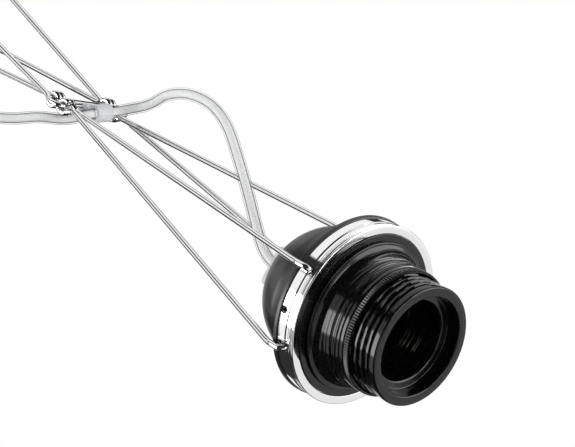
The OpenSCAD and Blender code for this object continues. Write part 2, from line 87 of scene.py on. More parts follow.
@dataclass(frozen=True)
class Placement:
    """A sub-frame: a turn and a shift from its own millimetres to the object's."""

    rotation: tuple[tuple[float, float, float], ...]
    shift: tuple[float, float, float]

    def put(self, points: Array) -> Array:
        """Moves points of any leading shape: rotated = R p, then the shift is added."""
        return np.asarray(points, float) @ np.array(self.rotation).T + np.array(self.shift)

    def turn(self, vectors: Array) -> Array:
        """Turns directions without the shift."""
        return np.asarray(vectors, float) @ np.array(self.rotation).T


def rotation_y(degrees: float) -> Array:
    """Rotation about Y as a 3 by 3 array."""
    c, s = math.cos(math.radians(degrees)), math.sin(math.radians(degrees))
    return np.array([[c, 0.0, s], [0.0, 1.0, 0.0], [-s, 0.0, c]])


def rotation_z(degrees: float) -> Array:
    """Rotation about Z as a 3 by 3 array."""
    c, s = math.cos(math.radians(degrees)), math.sin(math.radians(degrees))
    return np.array([[c, -s, 0.0], [s, c, 0.0], [0.0, 0.0, 1.0]])


def rotation_x(degrees: float) -> Array:
    """Rotation about X as a 3 by 3 array."""
    c, s = math.cos(math.radians(degrees)), math.sin(math.radians(degrees))
    return np.array([[1.0, 0.0, 0.0], [0.0, c, -s], [0.0, s, c]])


def as_rows(matrix: Array) -> tuple[tuple[float, float, float], ...]:
    """A 3 by 3 array as nested tuples, so that a frozen dataclass can hold it."""
    return tuple(tuple(float(v) for v in row) for row in matrix)


LEAN = 14.0
LINK_SLOPE = 24.3
LINK_YAW = 8.1
COIL_TILT = -6.5
HELD = Placement(as_rows(rotation_y(-LEAN)), (-0.2, 1.7, -313.0))
LINKED = Placement(as_rows(rotation_z(LINK_YAW) @ rotation_y(-LINK_SLOPE)), (-13.9, -0.8, -129.4))
COILED = Placement(as_rows(rotation_x(COIL_TILT)), (-39.0, 17.4, -50.0))
SHARP = 32.0  # degrees at which a turned edge stays crisp
TUBE_SHARP = 50.0  # the same for a bar or a tube
SIDE_SHARE = 0.49  # the most of a side that a corner's rounding takes
BEND_SHARE = 2.2  # a bend takes at most one part in this of a line's stretch
NEAR = 0.01  # millimetres within which a radius counts as the same


# ---- Meshes from arrays ----


def mesh_object(name: str, points: Array, faces: list[Sequence[int]] | Array,
                sharp: float | None = SHARP) -> bpy.types.Object:
    """Makes a mesh object from points in millimetres.

    Args:
        name: the piece's name.
        points: an (n, 3) array in millimetres, in the object's frame.
        faces: index tuples, wound so that they face outwards.
        sharp: edges that turn by more than this many degrees stay crisp; None smooths all.

    Returns:
        The object, at the origin, with its place in its mesh.
    """
    mesh = bpy.data.meshes.new(name)
    mesh.from_pydata((np.asarray(points, float) * MM).tolist(), [],
                     [tuple(int(i) for i in f) for f in faces])
    mesh.validate()
    mesh.shade_smooth()
    if sharp is not None:
        mesh.set_sharp_from_angle(angle=math.radians(sharp))
    thing = bpy.data.objects.new(name, mesh)
    bpy.context.scene.collection.objects.link(thing)
    return thing


def grid_faces(rows: int, columns: int, wrap_rows: bool, wrap_columns: bool) -> Array:
    """Quads of a grid of rows by columns points, wound along rows then columns.

    Args:
        rows: points along the first parameter.
        columns: points along the second.
        wrap_rows: whether the last row joins the first.
        wrap_columns: whether the last column joins the first.

    Returns:
        An (m, 4) array of point numbers.
    """
    r = np.arange(rows if wrap_rows else rows - 1)
    c = np.arange(columns if wrap_columns else columns - 1)
    rr, cc = np.meshgrid(r, c, indexing="ij")
    a = rr * columns + cc
    b = rr * columns + (cc + 1) % columns
    d = ((rr + 1) % rows) * columns + cc
    e = ((rr + 1) % rows) * columns + (cc + 1) % columns
    return np.stack([a, d, e, b], -1).reshape(-1, 4)


def rounded_profile(corners: Sequence[tuple[float, float, float]], steps: int = 4) -> Array:
    """A closed outline with its corners rounded.

    Each corner (x, y, r) becomes an arc-like curve: the quadratic curve through the points at
    distance r before and after the corner, with the corner as its control point.

    Args:
        corners: x, y and rounding of each corner in order; rounding 0 keeps the corner.
        steps: points along each rounded corner, less one.

    Returns:
        An (n, 2) array of points.
    """
    pts = np.array([c[:2] for c in corners], float)
    out: list[Array] = []
    t = np.linspace(0.0, 1.0, steps + 1)[:, None]
    for i, (_, _, r) in enumerate(corners):
        here, before, after = pts[i], pts[i - 1], pts[(i + 1) % len(pts)]
        if r <= 0:
            out.append(here[None])
            continue
        to_a, to_b = before - here, after - here
        la, lb = np.linalg.norm(to_a), np.linalg.norm(to_b)
        a = here + to_a / la * min(r, la * SIDE_SHARE)
        b = here + to_b / lb * min(r, lb * SIDE_SHARE)
        out.append(a * (1 - t) ** 2 + here * 2 * t * (1 - t) + b * t ** 2)
    return np.concatenate(out)


def area_of(outline: Array) -> float:
    """Signed area of a closed outline, by the shoelace sum."""
    x, y = outline[:, 0], outline[:, 1]
    return float(0.5 * np.sum(x * np.roll(y, -1) - np.roll(x, -1) * y))


def lathe(name: str, outline: Array, place: Placement, around: int = 256,
          ripple: Callable[[Array, Array, Array], Array] | None = None) -> bpy.types.Object:
    """Turns a closed outline of (radius, height) about the sub-frame's Z axis.

    A point at outline parameter s and angle a is (r cos a, r sin a, z); ripple(r, z, a) may
    give another radius, so knurls and slots are part of the same surface.

    Args:
        name: the piece's name.
        outline: an (n, 2) closed outline, in millimetres.
        place: the sub-frame.
        around: points round the axis.
        ripple: a function of radius, height and angle that gives the radius.

    Returns:
        The new object.
    """
    if area_of(outline) < 0:
        outline = outline[::-1]
    angle = np.arange(around) * 2 * math.pi / around
    r = np.repeat(outline[:, 0][None], around, 0)
    z = np.repeat(outline[:, 1][None], around, 0)
    a = np.repeat(angle[:, None], len(outline), 1)
    if ripple is not None:
        r = ripple(r, z, a)
    points = np.stack([r * np.cos(a), r * np.sin(a), z], -1).reshape(-1, 3)
    faces = grid_faces(around, len(outline), True, True)
    return mesh_object(name, place.put(points), faces)


def run_along(path: Array) -> Array:
    """Distance from a line's start to each of its points, summed along the line."""
    return np.concatenate([[0.0], np.cumsum(np.linalg.norm(np.diff(path, axis=0), axis=1))])


def unit(v: Array) -> Array:
    """Vectors scaled to length one."""
    return v / np.maximum(np.linalg.norm(v, axis=-1, keepdims=True), 1e-12)


def frames_along(path: Array, closed: bool = False, up: Array | None = None
                 ) -> tuple[Array, Array, Array]:
    """Tangent, normal and binormal at each point, turned as little as possible on the way.

    Args:
        path: an (n, 3) line.
        closed: whether the line's end joins its start.
        up: the first normal; any square one if it is left out.

    Returns:
        Three (n, 3) arrays.
    """
    if closed:
        t = unit(np.roll(path, -1, 0) - np.roll(path, 1, 0))
    else:
        t = unit(np.gradient(path, axis=0))
    start = np.array([1.0, 0.0, 0.0]) if abs(t[0][0]) < 0.8 else np.array([0.0, 1.0, 0.0])
    n = np.zeros_like(t)
    v = unit(np.cross(t[0], start)) if up is None else np.asarray(up, float)
    for i, tangent in enumerate(t):
        v = unit(v - tangent * np.dot(v, tangent))
        n[i] = v
    return t, n, np.cross(t, n)


def sweep(name: str, path: Array, radius: float | Array, sides: int = 24, closed: bool = False,
          squash: tuple[float, float] = (1.0, 1.0), uv: bool = False, up: Array | None = None
          ) -> bpy.types.Object:
    """Carries a circle along a line.

    The surface is p(i) + r(i) (n cos a + b sin a), with the normals n and b carried along the
    line; each end closes on a point at its middle.

    Args:
        name: the piece's name.
        path: an (n, 3) line in millimetres.
        radius: one radius, or one for each point.
        sides: points round the circle.
        closed: whether the line is a loop.
        squash: factors on n and b, for a flattened section.
        uv: whether to write a UV map, in millimetres along and turns round.
        up: the section's first normal, where the section isn't round.

    Returns:
        The new object.
    """
    _, n, b = frames_along(path, closed, up)
    m = len(path)
    r = np.broadcast_to(np.asarray(radius, float), (m,))[:, None, None]
    a = np.arange(sides) * 2 * math.pi / sides
    ring = (n[:, None] * np.cos(a)[None, :, None] * squash[0]
            + b[:, None] * np.sin(a)[None, :, None] * squash[1])
    points = (path[:, None] + r * ring).reshape(-1, 3)
    faces: list[Sequence[int]] = grid_faces(m, sides, closed, True)[:, ::-1].tolist()
    if not closed:
        points = np.concatenate([points, path[:1], path[-1:]])
        first, last = m * sides, m * sides + 1
        around = np.arange(sides)
        faces += [[first, int((j + 1) % sides), int(j)] for j in around]
        base = (m - 1) * sides
        faces += [[last, int(base + j), int(base + (j + 1) % sides)] for j in around]
    thing = mesh_object(name, points, faces, TUBE_SHARP)
    if uv:
        write_tube_uv(thing, run_along(path), sides)
    return thing


def write_tube_uv(thing: bpy.types.Object, run: Array, sides: int) -> None:
    """Writes a tube's UV map: u is millimetres along the line, v is turns round it.

    Args:
        thing: a tube made by sweep.
        run: distance along the line at each ring, in millimetres.
        sides: points round the tube.
    """
    mesh = thing.data
    count = len(mesh.loops)
    vert = np.zeros(count, np.int32)
    mesh.loops.foreach_get("vertex_index", vert)
    rings = len(run)
    ring = np.minimum(vert // sides, rings - 1)
    side = (vert % sides) / sides
    u = run[ring]
    u = np.where(vert == rings * sides, run[0], u)
    u = np.where(vert == rings * sides + 1, run[-1], u)
    # Where a face spans the seam, its low values go up by one turn
    starts = np.zeros(len(mesh.polygons), np.int32)
    totals = np.zeros(len(mesh.polygons), np.int32)
    mesh.polygons.foreach_get("loop_start", starts)
    mesh.polygons.foreach_get("loop_total", totals)
    owner = np.repeat(np.arange(len(starts)), totals)
    high = np.zeros(len(starts))
    np.maximum.at(high, owner, side)
    side = np.where((high[owner] > 0.75) & (side < 0.25), side + 1.0, side)
    layer = mesh.uv_layers.new(name="along")
    layer.data.foreach_set("uv", np.stack([u, side], -1).astype(np.float32).ravel())


def ends_eased(path: Array, radius: float, cut: float = 0.35, steps: int = 5
               ) -> tuple[Array, Array]:
    """Adds rings at both ends of a line so that a bar swept along it has rounded rims.

    Args:
        path: the line.
        radius: the bar's radius.
        cut: how deep the rounding goes, in millimetres.
        steps: rings at each end.

    Returns:
        The new line, and the radius at each of its points.
    """
    a = np.linspace(0.0, math.pi / 2, steps)
    d0, d1 = unit(path[1] - path[0]), unit(path[-2] - path[-1])
    head = path[0] + d0 * (cut * (1 - np.cos(a)))[:, None]
    tail = path[-1] + d1 * (cut * (1 - np.cos(a)))[:, None]
    r_end = radius - cut * (1 - np.sin(a))
    line = np.concatenate([head, path[1:-1], tail[::-1]])
    radii = np.concatenate([r_end, np.full(len(path) - 2, radius), r_end[::-1]])
    return line, radii


def curve_through(points: Array, steps: int) -> Array:
    """Smooth cubic line through points; each tangent is half the step between its neighbours.

    Args:
        points: an (n, 3) array.
        steps: points to a stretch.

    Returns:
        The line's points.
    """
    p = np.asarray(points, float)
    tangents = np.empty_like(p)
    tangents[1:-1] = (p[2:] - p[:-2]) / 2
    tangents[0], tangents[-1] = p[1] - p[0], p[-1] - p[-2]
    t = (np.arange(steps) / steps)[None, :, None]
    a, b = p[:-1, None], p[1:, None]
    ta, tb = tangents[:-1, None], tangents[1:, None]
    line = (a * (2 * t ** 3 - 3 * t ** 2 + 1) + ta * (t ** 3 - 2 * t ** 2 + t)
            + b * (3 * t ** 2 - 2 * t ** 3) + tb * (t ** 3 - t ** 2))
    return np.concatenate([line.reshape(-1, 3), p[-1:]])


def bent(points: Array, cut: float, steps: int) -> Array:
    """Rounds each inner corner of a line with a short quadratic curve.

    Args:
        points: an (n, 3) line.
        cut: how far from a corner its curve starts, in millimetres.
        steps: stretches to a curve.

    Returns:
        The line with its corners rounded.
    """
    p = np.asarray(points, float)
    out = [p[:1]]
    t = np.linspace(0.0, 1.0, steps + 1)[:, None]
    for i in range(1, len(p) - 1):
        to_a, to_b = p[i - 1] - p[i], p[i + 1] - p[i]
        la, lb = np.linalg.norm(to_a), np.linalg.norm(to_b)
        a = p[i] + to_a / la * min(cut, la / BEND_SHARE)
        b = p[i] + to_b / lb * min(cut, lb / BEND_SHARE)
        out.append(a * (1 - t) ** 2 + p[i] * 2 * t * (1 - t) + b * t ** 2)
    out.append(p[-1:])
    return np.concatenate(out)


def evened(path: Array, step: float) -> Array:
    """The same line with points an even distance apart, found by linear interpolation.

    Args:
        path: an (n, 3) line.
        step: the distance wanted between points.

    Returns:
        The new points, at least three.
    """
    run = run_along(path)
    count = max(3, int(round(run[-1] / step)) + 1)
    at = np.linspace(0.0, run[-1], count)
    return np.stack([np.interp(at, run, path[:, k]) for k in range(3)], -1)


def relaxed(path: Array, passes: int) -> Array:
    """The same line with each inner point moved a third of the way to its neighbours' middle.

    Args:
        path: an (n, 3) line.
        passes: how often every inner point moves.

    Returns:
        The softened line; its ends stay.
    """
    line = path.copy()
    for _ in range(passes):
        line[1:-1] += ((line[:-2] + line[2:]) / 2 - line[1:-1]) / 3
    return line


def join(name: str, parts: Sequence[bpy.types.Object]) -> bpy.types.Object:
    """Joins mesh objects into one piece; materials and UV maps stay with their faces.

    Args:
        name: the new piece's name.
        parts: the meshes; all but the first are used up.

    Returns:
        The joined piece.
    """
    bpy.ops.object.select_all(action="DESELECT")
    for part in parts:
        part.select_set(True)
    bpy.context.view_layer.objects.active = parts[0]
    bpy.ops.object.join()
    parts[0].name = name
    parts[0].data.name = name
    return parts[0]


class Blend(Enum):
    """What one solid mesh does to another."""

    CUT = "DIFFERENCE"
    FUSE = "UNION"


def apply_modifier(thing: bpy.types.Object, modifier: bpy.types.Modifier) -> None:
    """Applies a modifier to the mesh that it sits on."""
    bpy.context.view_layer.objects.active = thing
    bpy.ops.object.modifier_apply(modifier=modifier.name)


def combine(thing: bpy.types.Object, others: Sequence[bpy.types.Object], blend: Blend) -> None:
    """Cuts other solids out of a mesh, or fuses them to it, and removes them.

    Args:
        thing: the mesh that changes.
        others: closed meshes; they are used up.
        blend: whether they are cut out or fused on.
    """
    for other in others:
        modifier = thing.modifiers.new(blend.name, "BOOLEAN")
        modifier.operation, modifier.solver, modifier.object = blend.value, "EXACT", other
        apply_modifier(thing, modifier)
        bpy.data.objects.remove(other)
    thing.data.shade_smooth()
    thing.data.set_sharp_from_angle(angle=math.radians(SHARP))


def post(name: str, place: Placement, start: Array, end: Array, radius: float,
         sides: int = 32) -> bpy.types.Object:
    """A plain round cutter between two points of a sub-frame."""
    path = place.put(np.stack([start, (start + end) / 2, end]))
    return sweep(name, path, radius, sides)


# ---- Node groups that more than one finish uses ----


class Nodes:
    """A small helper that adds shader nodes and links them."""

    def __init__(self, tree: bpy.types.NodeTree) -> None:
        """Keeps the tree that nodes go into."""
        self.tree = tree

    def add(self, kind: str, **settings: object) -> bpy.types.Node:
        """Adds a node of a kind and sets its properties.

        Args:
            kind: the node's type.
            settings: its properties by name.

        Returns:
            The node.
        """
        node = self.tree.nodes.new(kind)
        for key, value in settings.items():
            setattr(node, key, value)
        return node

    def link(self, source: bpy.types.NodeSocket, target: bpy.types.NodeSocket) -> None:
        """Joins an output to an input."""
        self.tree.links.new(source, target)

    def math(self, operation: str, a: object, b: object = None, clamp: bool = False
             ) -> bpy.types.NodeSocket:
        """A Math node; a and b are sockets or numbers.

        Args:
            operation: what the node does.
            a: the first value, a socket or a number.
            b: the second one, where there is one.
            clamp: whether the result stays between 0 and 1.

        Returns:
            The result.
        """
        node = self.add("ShaderNodeMath", operation=operation, use_clamp=clamp)
        for i, value in enumerate((a, b)):
            if isinstance(value, bpy.types.NodeSocket):
                self.link(value, node.inputs[i])
            elif value is not None:
                node.inputs[i].default_value = float(value)
        return node.outputs[0]

    def ramp(self, value: bpy.types.NodeSocket, low: float, high: float, to_low: float = 0.0,
             to_high: float = 1.0) -> bpy.types.NodeSocket:
        """A smooth Map Range from low..high to to_low..to_high.

        Args:
            value: what is mapped.
            low: the value at which the step starts.
            high: the value at which it ends.
            to_low: the result up to low.
            to_high: the result from high on.

        Returns:
            The result.
        """
        node = self.add("ShaderNodeMapRange", interpolation_type="SMOOTHSTEP")
        self.link(value, node.inputs["Value"])
        node.inputs["From Min"].default_value = low
        node.inputs["From Max"].default_value = high
        node.inputs["To Min"].default_value = to_low
        node.inputs["To Max"].default_value = to_high
        return node.outputs["Result"]

    def noise(self, vector: bpy.types.NodeSocket, scale: float, detail: float = 3.0,
              rough: float = 0.55) -> bpy.types.NodeSocket:
        """A noise texture's factor.

        Args:
            vector: where the texture is read.
            scale: its scale.
            detail: its layers.
            rough: how strong the finer layers are.

        Returns:
            The factor, 0 to 1.
        """
        node = self.add("ShaderNodeTexNoise")
        self.link(vector, node.inputs["Vector"])
        node.inputs["Scale"].default_value = scale
        node.inputs["Detail"].default_value = detail
        node.inputs["Roughness"].default_value = rough
        return node.outputs["Fac"]


FLOAT = "NodeSocketFloat"


def new_group(name: str, inputs: Iterable[tuple[str, str, float]],
              outputs: Iterable[tuple[str, str]]) -> tuple[bpy.types.NodeTree, Nodes]:
    """Makes a shader node group with named inputs and outputs.

    Args:
        name: the group's name.
        inputs: socket name, socket type and default of each input.
        outputs: socket name and type of each output.

    Returns:
        The group and a helper that adds nodes to it.
    """
    group = bpy.data.node_groups.new(name, "ShaderNodeTree")
    for label, kind, default in inputs:
        socket = group.interface.new_socket(name=label, in_out="INPUT", socket_type=kind)
        if kind == FLOAT:
            socket.default_value = default
    for label, kind in outputs:
        group.interface.new_socket(name=label, in_out="OUTPUT", socket_type=kind)
    return group, Nodes(group)


def handled_group() -> bpy.types.NodeTree:
    """Handled metal or plastic: cloudy gloss, fine specks and hair scratches.

    Gloss change is a slow cloud plus thin stretched streaks; Height is the streaks and specks.

    Returns:
        The group, with Gloss, Height and Specks.
    """
    group, n = new_group("handled", [("Scale", FLOAT, 60.0), ("Streaks", FLOAT, 0.5)],
                         [("Gloss", FLOAT), ("Height", FLOAT), ("Specks", FLOAT)])
    gi = n.add("NodeGroupInput")
    go = n.add("NodeGroupOutput")
    coord = n.add("ShaderNodeTexCoord").outputs["Object"]
    cloud = n.add("ShaderNodeTexNoise")
    n.link(coord, cloud.inputs["Vector"])
    n.link(gi.outputs["Scale"], cloud.inputs["Scale"])
    cloud.inputs["Detail"].default_value = 4.0
    stretch = n.add("ShaderNodeMapping")
    stretch.inputs["Scale"].default_value = (1.0, 1.0, 0.05)
    stretch.inputs["Rotation"].default_value = (0.5, 0.9, 0.2)
    n.link(coord, stretch.inputs["Vector"])
    streak = n.noise(stretch.outputs["Vector"], 900.0, 2.0)
    lines = n.ramp(streak, 0.58, 0.72)
    lines = n.math("MULTIPLY", lines, gi.outputs["Streaks"])
    speck = n.ramp(n.noise(coord, 2600.0, 1.0), 0.66, 0.74)
    gloss = n.math("ADD", n.math("SUBTRACT", cloud.outputs["Fac"], 0.5),
                   n.math("MULTIPLY", lines, 0.35))
    n.link(gloss, go.inputs["Gloss"])
    n.link(n.math("SUBTRACT", speck, lines), go.inputs["Height"])
    n.link(speck, go.inputs["Specks"])
    return group


def drawn_group() -> bpy.types.NodeTree:
    """Drawn wire: fine lines along the bar's own length, from the tube's UV map.

    Returns:
        The group, with Gloss and Height.
    """
    group, n = new_group("drawn", [("Lines", FLOAT, 60.0)], [("Gloss", FLOAT), ("Height", FLOAT)])
    gi = n.add("NodeGroupInput")
    go = n.add("NodeGroupOutput")
    uv = n.add("ShaderNodeUVMap", uv_map="along").outputs["UV"]
    split = n.add("ShaderNodeSeparateXYZ")
    n.link(uv, split.inputs[0])
    joined = n.add("ShaderNodeCombineXYZ")
    n.link(n.math("MULTIPLY", split.outputs["X"], 0.12), joined.inputs["X"])
    n.link(n.math("MULTIPLY", split.outputs["Y"], gi.outputs["Lines"]), joined.inputs["Y"])
    fine = n.noise(joined.outputs[0], 1.0, 3.0)
    n.link(n.math("SUBTRACT", fine, 0.5), go.inputs["Gloss"])
    n.link(fine, go.inputs["Height"])
    return group


def braid_group() -> bpy.types.NodeTree:
    """A wire braid on a tube: two families of strands that pass over and under each other.

    With u along and v round, one family is bright where frac(v n + u k) is near a half and the
    other where frac(v n - u k) is; a chequer of the two phases says which lies on top.

    Returns:
        The group, with Height and Strand.
    """
    group, n = new_group("braid", [("Strands", FLOAT, 12.0), ("Lay", FLOAT, 0.28)],
                         [("Height", FLOAT), ("Strand", FLOAT)])
    gi = n.add("NodeGroupInput")
    go = n.add("NodeGroupOutput")
    uv = n.add("ShaderNodeUVMap", uv_map="along").outputs["UV"]
    split = n.add("ShaderNodeSeparateXYZ")
    n.link(uv, split.inputs[0])
    turns = n.math("MULTIPLY", split.outputs["Y"], gi.outputs["Strands"])
    run = n.math("MULTIPLY", split.outputs["X"], gi.outputs["Lay"])
    ridges, phases = [], []
    for sign in ("ADD", "SUBTRACT"):
        phase = n.math(sign, turns, run)
        wave = n.math("SINE", n.math("MULTIPLY", phase, 2 * math.pi))
        ridges.append(n.math("ABSOLUTE", wave))
        phases.append(n.math("SINE", n.math("MULTIPLY", phase, math.pi)))
    over = n.math("GREATER_THAN", n.math("MULTIPLY", phases[0], phases[1]), 0.0)
    under = n.math("SUBTRACT", 1.0, over)
    height = n.math("ADD", n.math("MULTIPLY", ridges[0], over),
                    n.math("MULTIPLY", ridges[1], under))
    n.link(height, go.inputs["Height"])
    n.link(n.ramp(height, 0.1, 0.6), go.inputs["Strand"])
    return group


class Shared(Enum):
    """Node groups, by name; each is built when it is first placed."""

    HANDLED = "handled"
    DRAWN = "drawn"
    BRAID = "braid"

    def tree(self) -> bpy.types.NodeTree:
        """The group, built once.

        Returns:
            The node group.
        """
        found = bpy.data.node_groups.get(self.value)
        if found is not None:
            return found
        makers = {"handled": handled_group, "drawn": drawn_group, "braid": braid_group}
        return makers[self.value]()


def placed(n: Nodes, shared: Shared, **values: float) -> bpy.types.Node:
    """Places a shared group in a material with its own values.

    Args:
        n: the nodes of the material.
        shared: which group.
        values: its inputs by name.

    Returns:
        The group's node.
    """
    node = n.add("ShaderNodeGroup")
    node.node_tree = shared.tree()
    for label, value in values.items():
        node.inputs[label].default_value = value
    return node


# ---- Finishes ----


def turned_away(n: Nodes, tube: bool) -> bpy.types.NodeSocket:
    """How far a surface has turned away: 0 where it faces straight out, 1 at its rim.

    On a tube only the turn across its line counts: 1 - |n.v| / sqrt(1 - (t.v)^2), where t runs
    along the tube.

    Args:
        n: the material's nodes.
        tube: whether the piece is a tube with the "along" UV map.

    Returns:
        The turn.
    """
    facing = n.add("ShaderNodeLayerWeight")
    facing.inputs["Blend"].default_value = 0.5
    if not tube:
        return facing.outputs["Facing"]
    line = n.add("ShaderNodeTangent", direction_type="UV_MAP", uv_map="along")
    lengthwise = n.add("ShaderNodeLayerWeight")
    lengthwise.inputs["Blend"].default_value = 0.5
    n.link(line.outputs["Tangent"], lengthwise.inputs["Normal"])
    along = n.math("SUBTRACT", 1.0, lengthwise.outputs["Facing"])
    square = n.math("SUBTRACT", 1.0, n.math("MULTIPLY", along, along))
    across = n.math("SQRT", n.math("MAXIMUM", square, 0.01))
    cosine = n.math("DIVIDE", n.math("SUBTRACT", 1.0, facing.outputs["Facing"]), across)
    return n.math("SUBTRACT", 1.0, cosine, True)


SPECK_GREY = 0.6  # the grey that specks and strands go towards
SPECK_LIFT = 0.004  # how much lighter they are on pure black


@dataclass(frozen=True)
class Finish:
    """A metal, paint or moulding with cloudy gloss, specks and hair scratches."""

    name: str
    colour: tuple[float, float, float]
    slot: str = ""
    metallic: float = 0.0
    roughness: float = 0.3
    spread: float = 0.1
    bump: float = 0.02
    scale: float = 60.0
    streaks: float = 0.5
    shade: float = 0.15
    specular: float = 0.5

    def start(self) -> tuple[bpy.types.Material, Nodes, bpy.types.Node]:
        """A new material with its Principled BSDF.

        Returns:
            The material, its nodes and the shader.
        """
        material = bpy.data.materials.new(self.name)
        material.use_nodes = True
        n = Nodes(material.node_tree)
        shader = next(x for x in n.tree.nodes if x.type == "BSDF_PRINCIPLED")
        shader.inputs["Base Color"].default_value = (*self.colour, 1.0)
        shader.inputs["Metallic"].default_value = self.metallic
        shader.inputs["Roughness"].default_value = self.roughness
        shader.inputs["Specular IOR Level"].default_value = self.specular
        return material, n, shader

    def rough_from(self, n: Nodes, shader: bpy.types.Node, change: bpy.types.NodeSocket) -> None:
        """Roughness is the finish's own value plus the change times its spread."""
        value = n.math("ADD", n.math("MULTIPLY", change, self.spread), self.roughness, clamp=True)
        n.link(value, shader.inputs["Roughness"])

    def bump_from(self, n: Nodes, shader: bpy.types.Node, height: bpy.types.NodeSocket,
                  distance: float = 0.00005) -> None:
        """Feeds a height to the shader's normal through a Bump node.

        Args:
            n: the nodes of the material.
            shader: its Principled BSDF.
            height: the height, 0 to 1.
            distance: how far the height reaches, in metres.
        """
        bump = n.add("ShaderNodeBump")
        bump.inputs["Strength"].default_value = self.bump
        bump.inputs["Distance"].default_value = distance
        n.link(height, bump.inputs["Height"])
        n.link(bump.outputs["Normal"], shader.inputs["Normal"])

    def pale(self) -> tuple[float, ...]:
        """The paler colour of specks: part of the way from the colour to a middle grey."""
        return tuple(min(1.0, c + self.shade * (SPECK_GREY - c) * 0.5 + SPECK_LIFT)
                     for c in self.colour)

    def tint(self, n: Nodes, shader: bpy.types.Node, mask: bpy.types.NodeSocket) -> None:
        """Base colour goes from the finish's colour to a paler one where the mask is high.

        Args:
            n: the nodes of the material.
            shader: its Principled BSDF.
            mask: 0 for the colour, 1 for the paler one.
        """
        mix = n.add("ShaderNodeMix", data_type="RGBA")
        mix.inputs["A"].default_value = (*self.colour, 1.0)
        mix.inputs["B"].default_value = (*self.pale(), 1.0)
        n.link(mask, mix.inputs["Factor"])
        n.link(mix.outputs["Result"], shader.inputs["Base Color"])

    def build(self) -> bpy.types.Material:
        """Builds the material, or returns the one already built.

        Returns:
            The material.
        """
        found = bpy.data.materials.get(self.name)
        if found is not None:
            return found
        material, n, shader = self.start()
        self.fill(n, shader)
        return material

    def fill(self, n: Nodes, shader: bpy.types.Node) -> None:
        """Places the handled group and feeds gloss, specks and height.

        Args:
            n: the nodes of the material.
            shader: its Principled BSDF.
        """
        worn = placed(n, Shared.HANDLED, Scale=self.scale, Streaks=self.streaks)
        self.rough_from(n, shader, worn.outputs["Gloss"])
        self.tint(n, shader, worn.outputs["Specks"])
        self.bump_from(n, shader, worn.outputs["Height"])


@dataclass(frozen=True)
class WireFinish(Finish):
    """Polished drawn wire: lines along the bar."""

    lines: float = 60.0
    wear: float = 0.4

    def fill(self, n: Nodes, shader: bpy.types.Node) -> None:
        """Places the drawn group along the tube's UV map.

        Args:
            n: the nodes of the material.
            shader: its Principled BSDF.
        """
        drawn = placed(n, Shared.DRAWN, Lines=self.lines)
        worn = placed(n, Shared.HANDLED, Scale=self.scale, Streaks=self.streaks)
        change = n.math("ADD", drawn.outputs["Gloss"],
                        n.math("MULTIPLY", worn.outputs["Gloss"], self.wear))
        self.rough_from(n, shader, change)
        self.tint(n, shader, worn.outputs["Specks"])
        self.bump_from(n, shader, drawn.outputs["Height"])


@dataclass(frozen=True)
class SatinPaint(Finish):
    """Satin enamel with a fine orange-peel surface."""

    peel: float = 1400.0

    def fill(self, n: Nodes, shader: bpy.types.Node) -> None:
        """Orange peel is a small even noise; gloss clouds come from the handled group.

        Args:
            n: the nodes of the material.
            shader: its Principled BSDF.
        """
        worn = placed(n, Shared.HANDLED, Scale=self.scale, Streaks=self.streaks)
        coord = n.add("ShaderNodeTexCoord").outputs["Object"]
        peel = n.noise(coord, self.peel, 2.0)
        self.rough_from(n, shader, worn.outputs["Gloss"])
        self.tint(n, shader, worn.outputs["Specks"])
        self.bump_from(n, shader, peel)


@dataclass(frozen=True)
class BraidFinish(Finish):
    """Tinned copper braid seen through the jacket."""

    strands: float = 12.0
    lay: float = 0.28
    tinned: tuple[float, float, float] = (0.82, 0.825, 0.83)
    # edge: how far the braid turns from the view before its painted rim shade starts and is full
    edge: tuple[float, float] = (0.18, 0.6)  # where the braid darkens
    valley: float = 0.6
    relief: float = 0.0001  # metres

    def pale(self) -> tuple[float, ...]:
        """The tinned strand itself."""
        return self.tinned

    def fill(self, n: Nodes, shader: bpy.types.Node) -> None:
        """Strands lighten the colour and stand up in the bump; the braid darkens towards its rim as
        it turns from the view, which is painted shade, and stays a little darker between strands.

        Args:
            n: the nodes of the material.
            shader: its Principled BSDF.
        """
        braid = placed(n, Shared.BRAID, Strands=self.strands, Lay=self.lay)
        # Painted shade: the colour goes dark where the braid turns away across its line
        edge = n.ramp(turned_away(n, True), *self.edge, 1.0, 0.0)
        strand = n.ramp(braid.outputs["Strand"], 0.0, 1.0, self.valley, 1.0)
        self.tint(n, shader, n.math("MULTIPLY", strand, edge))
        self.rough_from(n, shader, braid.outputs["Strand"])
        self.bump_from(n, shader, braid.outputs["Height"], self.relief)


@dataclass(frozen=True)
class ClearFinish(Finish):
    """Clear or milky plastic; alpha lets light in, and a higher alpha at the rim paints the dense
    edge that refraction gives, which is painted shade where the colour is dark.
    """

    face_alpha: float = 0.2
    rim_alpha: float = 0.8
    rim_from: float = 0.25
    rim_to: float = 0.95
    lets_in: float = 0.85
    ior: float = 1.46
    tube: bool = False

    def fill(self, n: Nodes, shader: bpy.types.Node) -> None:
        """Alpha goes from the face's value to the rim's; light on its way in passes freely.

        Args:
            n: the nodes of the material.
            shader: its Principled BSDF.
        """
        worn = placed(n, Shared.HANDLED, Scale=self.scale, Streaks=self.streaks)
        self.rough_from(n, shader, worn.outputs["Gloss"])
        # The rim's higher alpha paints refraction's edge lines: painted shade where the colour is
        # dark
        alpha = n.ramp(turned_away(n, self.tube), self.rim_from, self.rim_to, self.face_alpha,
                       self.rim_alpha)
        rays = n.add("ShaderNodeLightPath")
        inward = n.math("ADD", rays.outputs["Is Shadow Ray"], rays.outputs["Is Diffuse Ray"], True)
        kept = n.math("SUBTRACT", 1.0, n.math("MULTIPLY", inward, self.lets_in))
        alpha = n.math("MULTIPLY", alpha, kept)
        n.link(alpha, shader.inputs["Alpha"])
        shader.inputs["IOR"].default_value = self.ior
        self.tint(n, shader, worn.outputs["Specks"])
        self.bump_from(n, shader, worn.outputs["Height"])


